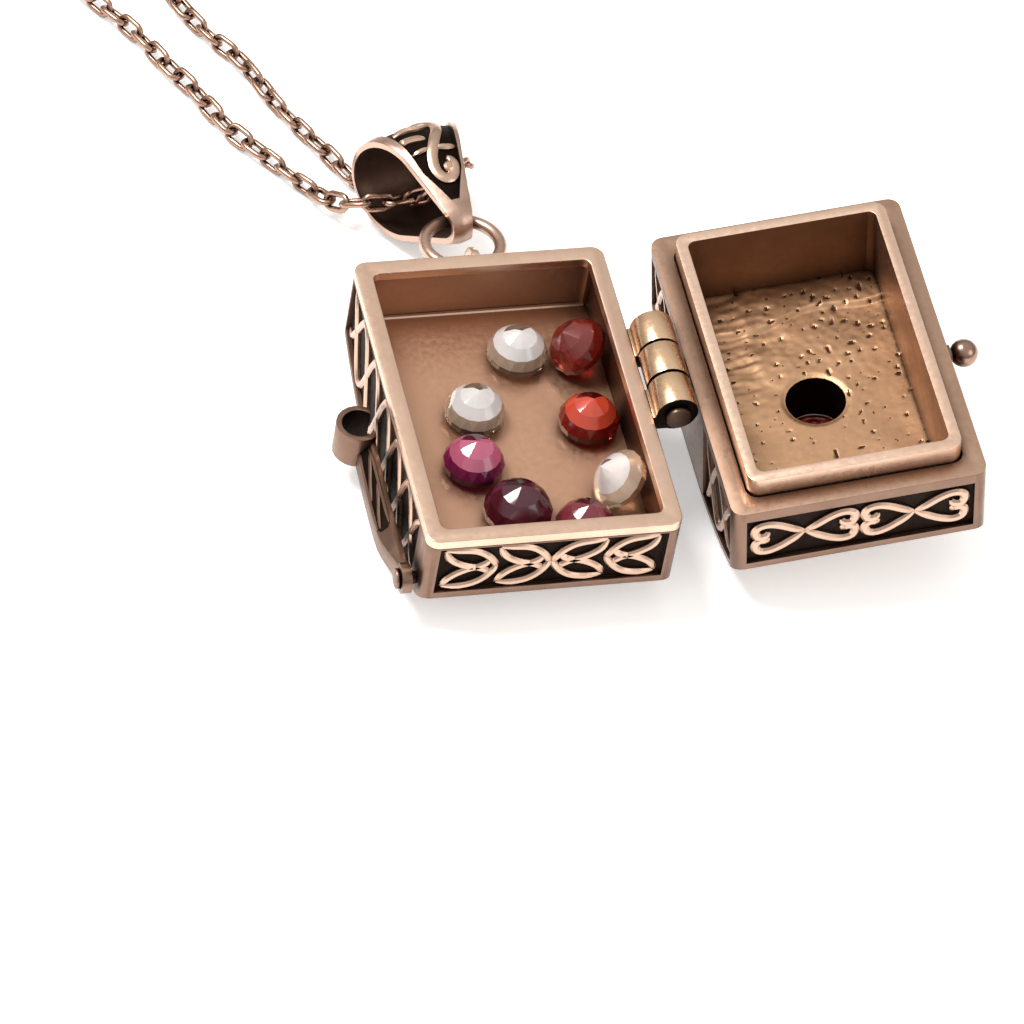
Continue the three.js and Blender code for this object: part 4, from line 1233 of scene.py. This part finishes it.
def cast_height(x, y):
    """Height of the cast skin: soft waves, pits, and flow marks that are strongest at the far left."""
    far = smoothstep(y, -3, 5)
    left = smoothstep(-x, -1, 4)
    waves = 0.06 * noise.noise(Vector((x * 0.4, y * 0.4, 1)))
    flow = 0.09 * far * left * noise.noise(Vector((x * 0.7 + 0.6 * y, y * 1.9 + 0.5 * math.sin(x), 7)))
    pebble = (0.005 + 0.012 * far) * noise.noise(Vector((x * 2, y * 2, 3)))
    shore = 6.6 + 0.12 * x + 0.35 * math.sin(0.8 * x + 0.5)
    step = 0.18 * smoothstep(y, shore, shore + 0.5)
    return max(CAST_LEAST, CAST_LIFT + waves + flow + pebble + step - pit_depth(x, y))


def add_casting():
    bm = bmesh.new()
    columns = round(CAST_WIDTH / CAST_CELL)
    rows = round(CAST_LENGTH / CAST_CELL)
    bmesh.ops.create_grid(bm, x_segments=columns, y_segments=rows, size=1)
    bmesh.ops.scale(bm, vec=(CAST_WIDTH / 2, CAST_LENGTH / 2, 1), verts=bm.verts)
    hole = [face for face in bm.faces if face.calc_center_median().length < LID_BORE]
    bmesh.ops.delete(bm, geom=hole, context="FACES")
    for vert in bm.verts:
        reach = vert.co.length
        if reach < LID_BORE + 1.5 * CAST_CELL:
            vert.co *= LID_BORE / reach if vert.is_boundary else 1
    low = bmesh.ops.extrude_face_region(bm, geom=bm.faces[:])["geom"]
    for vert in low:
        if isinstance(vert, bmesh.types.BMVert):
            round_over = smoothstep(vert.co.length, LID_BORE, LID_BORE + 0.35)
            vert.co.z = 0.02 + cast_height(vert.co.x, vert.co.y) * round_over
    below = [vert for vert in bm.verts if vert.co.z == 0]
    bmesh.ops.translate(bm, verts=below, vec=(0, 0, -0.2))
    for face in bm.faces:
        spot = face.calc_center_median()
        face.material_index = 1 if pit_depth(spot.x, spot.y) > PIT_SHOWS else 0
    bmesh.ops.recalc_face_normals(bm, faces=bm.faces)
    place = LID_PLACE @ Matrix.Translation((0, 0, -LID_DEPTH))
    finish_piece("lid_cast_floor", bm, "lid", [lid_casting, pit_metal], place, smooth=60)


add_casting()


# Carving on the latch's slope: two long ribs and two slanting ones over a dark ground
def latch_slope(run, share):
    """Point and normal on the slope at shares of the reach and of the way in from the outer edge."""
    outer = -(BOX_WIDTH / 2 + LATCH_GAP + LATCH_THICKNESS)
    inner = -(BOX_WIDTH / 2 + LATCH_GAP + LATCH_STRIP)
    middle = -4 * LATCH_BOW * run * (1 - run)
    high = middle + LATCH_HALF_WIDTH
    x = outer + (inner - outer) * share
    z = high - LATCH_SLOPE * (1 - share)
    return Vector((x, LATCH_REACH * run, z + 0.02)), Vector((-LATCH_SLOPE, 0, inner - outer)).normalized()


GROUND_START = 0.34
GROUND_RUN = 0.54
GROUND_STEPS = 14
LATCH_RIBS = [
    ([(0.36, 0.08), (0.5, 0.08), (0.65, 0.1), (0.8, 0.12), (0.87, 0.2)], 0.22),
    ([(0.36, 0.92), (0.5, 0.95), (0.65, 0.95), (0.8, 0.92), (0.87, 0.8)], 0.2),
    ([(0.36, 0.25), (0.46, 0.45), (0.56, 0.72), (0.64, 0.85)], 0.24),
    ([(0.56, 0.2), (0.66, 0.4), (0.76, 0.66), (0.84, 0.8)], 0.24),
]


def add_latch_carving():
    ground = bmesh.new()
    ribs = bmesh.new()
    runs = [GROUND_START + GROUND_RUN * i / GROUND_STEPS for i in range(GROUND_STEPS + 1)]
    add_ribbon(ground, latch_slope, [(run, 0.5) for run in runs], width=0.95, height=0.03, tip=0.7)
    for path, width in LATCH_RIBS:
        add_ribbon(ribs, latch_slope, smooth_path(path, 4), width, 0.12)
    for name, bm, material in (("latch_ground", ground, oxide_and_shade), ("latch_ribs", ribs, rose_satin_shaded)):
        bmesh.ops.recalc_face_normals(bm, faces=bm.faces)
        finish_piece(name, bm, "latch", [material], LATCH_PLACE)


add_latch_carving()
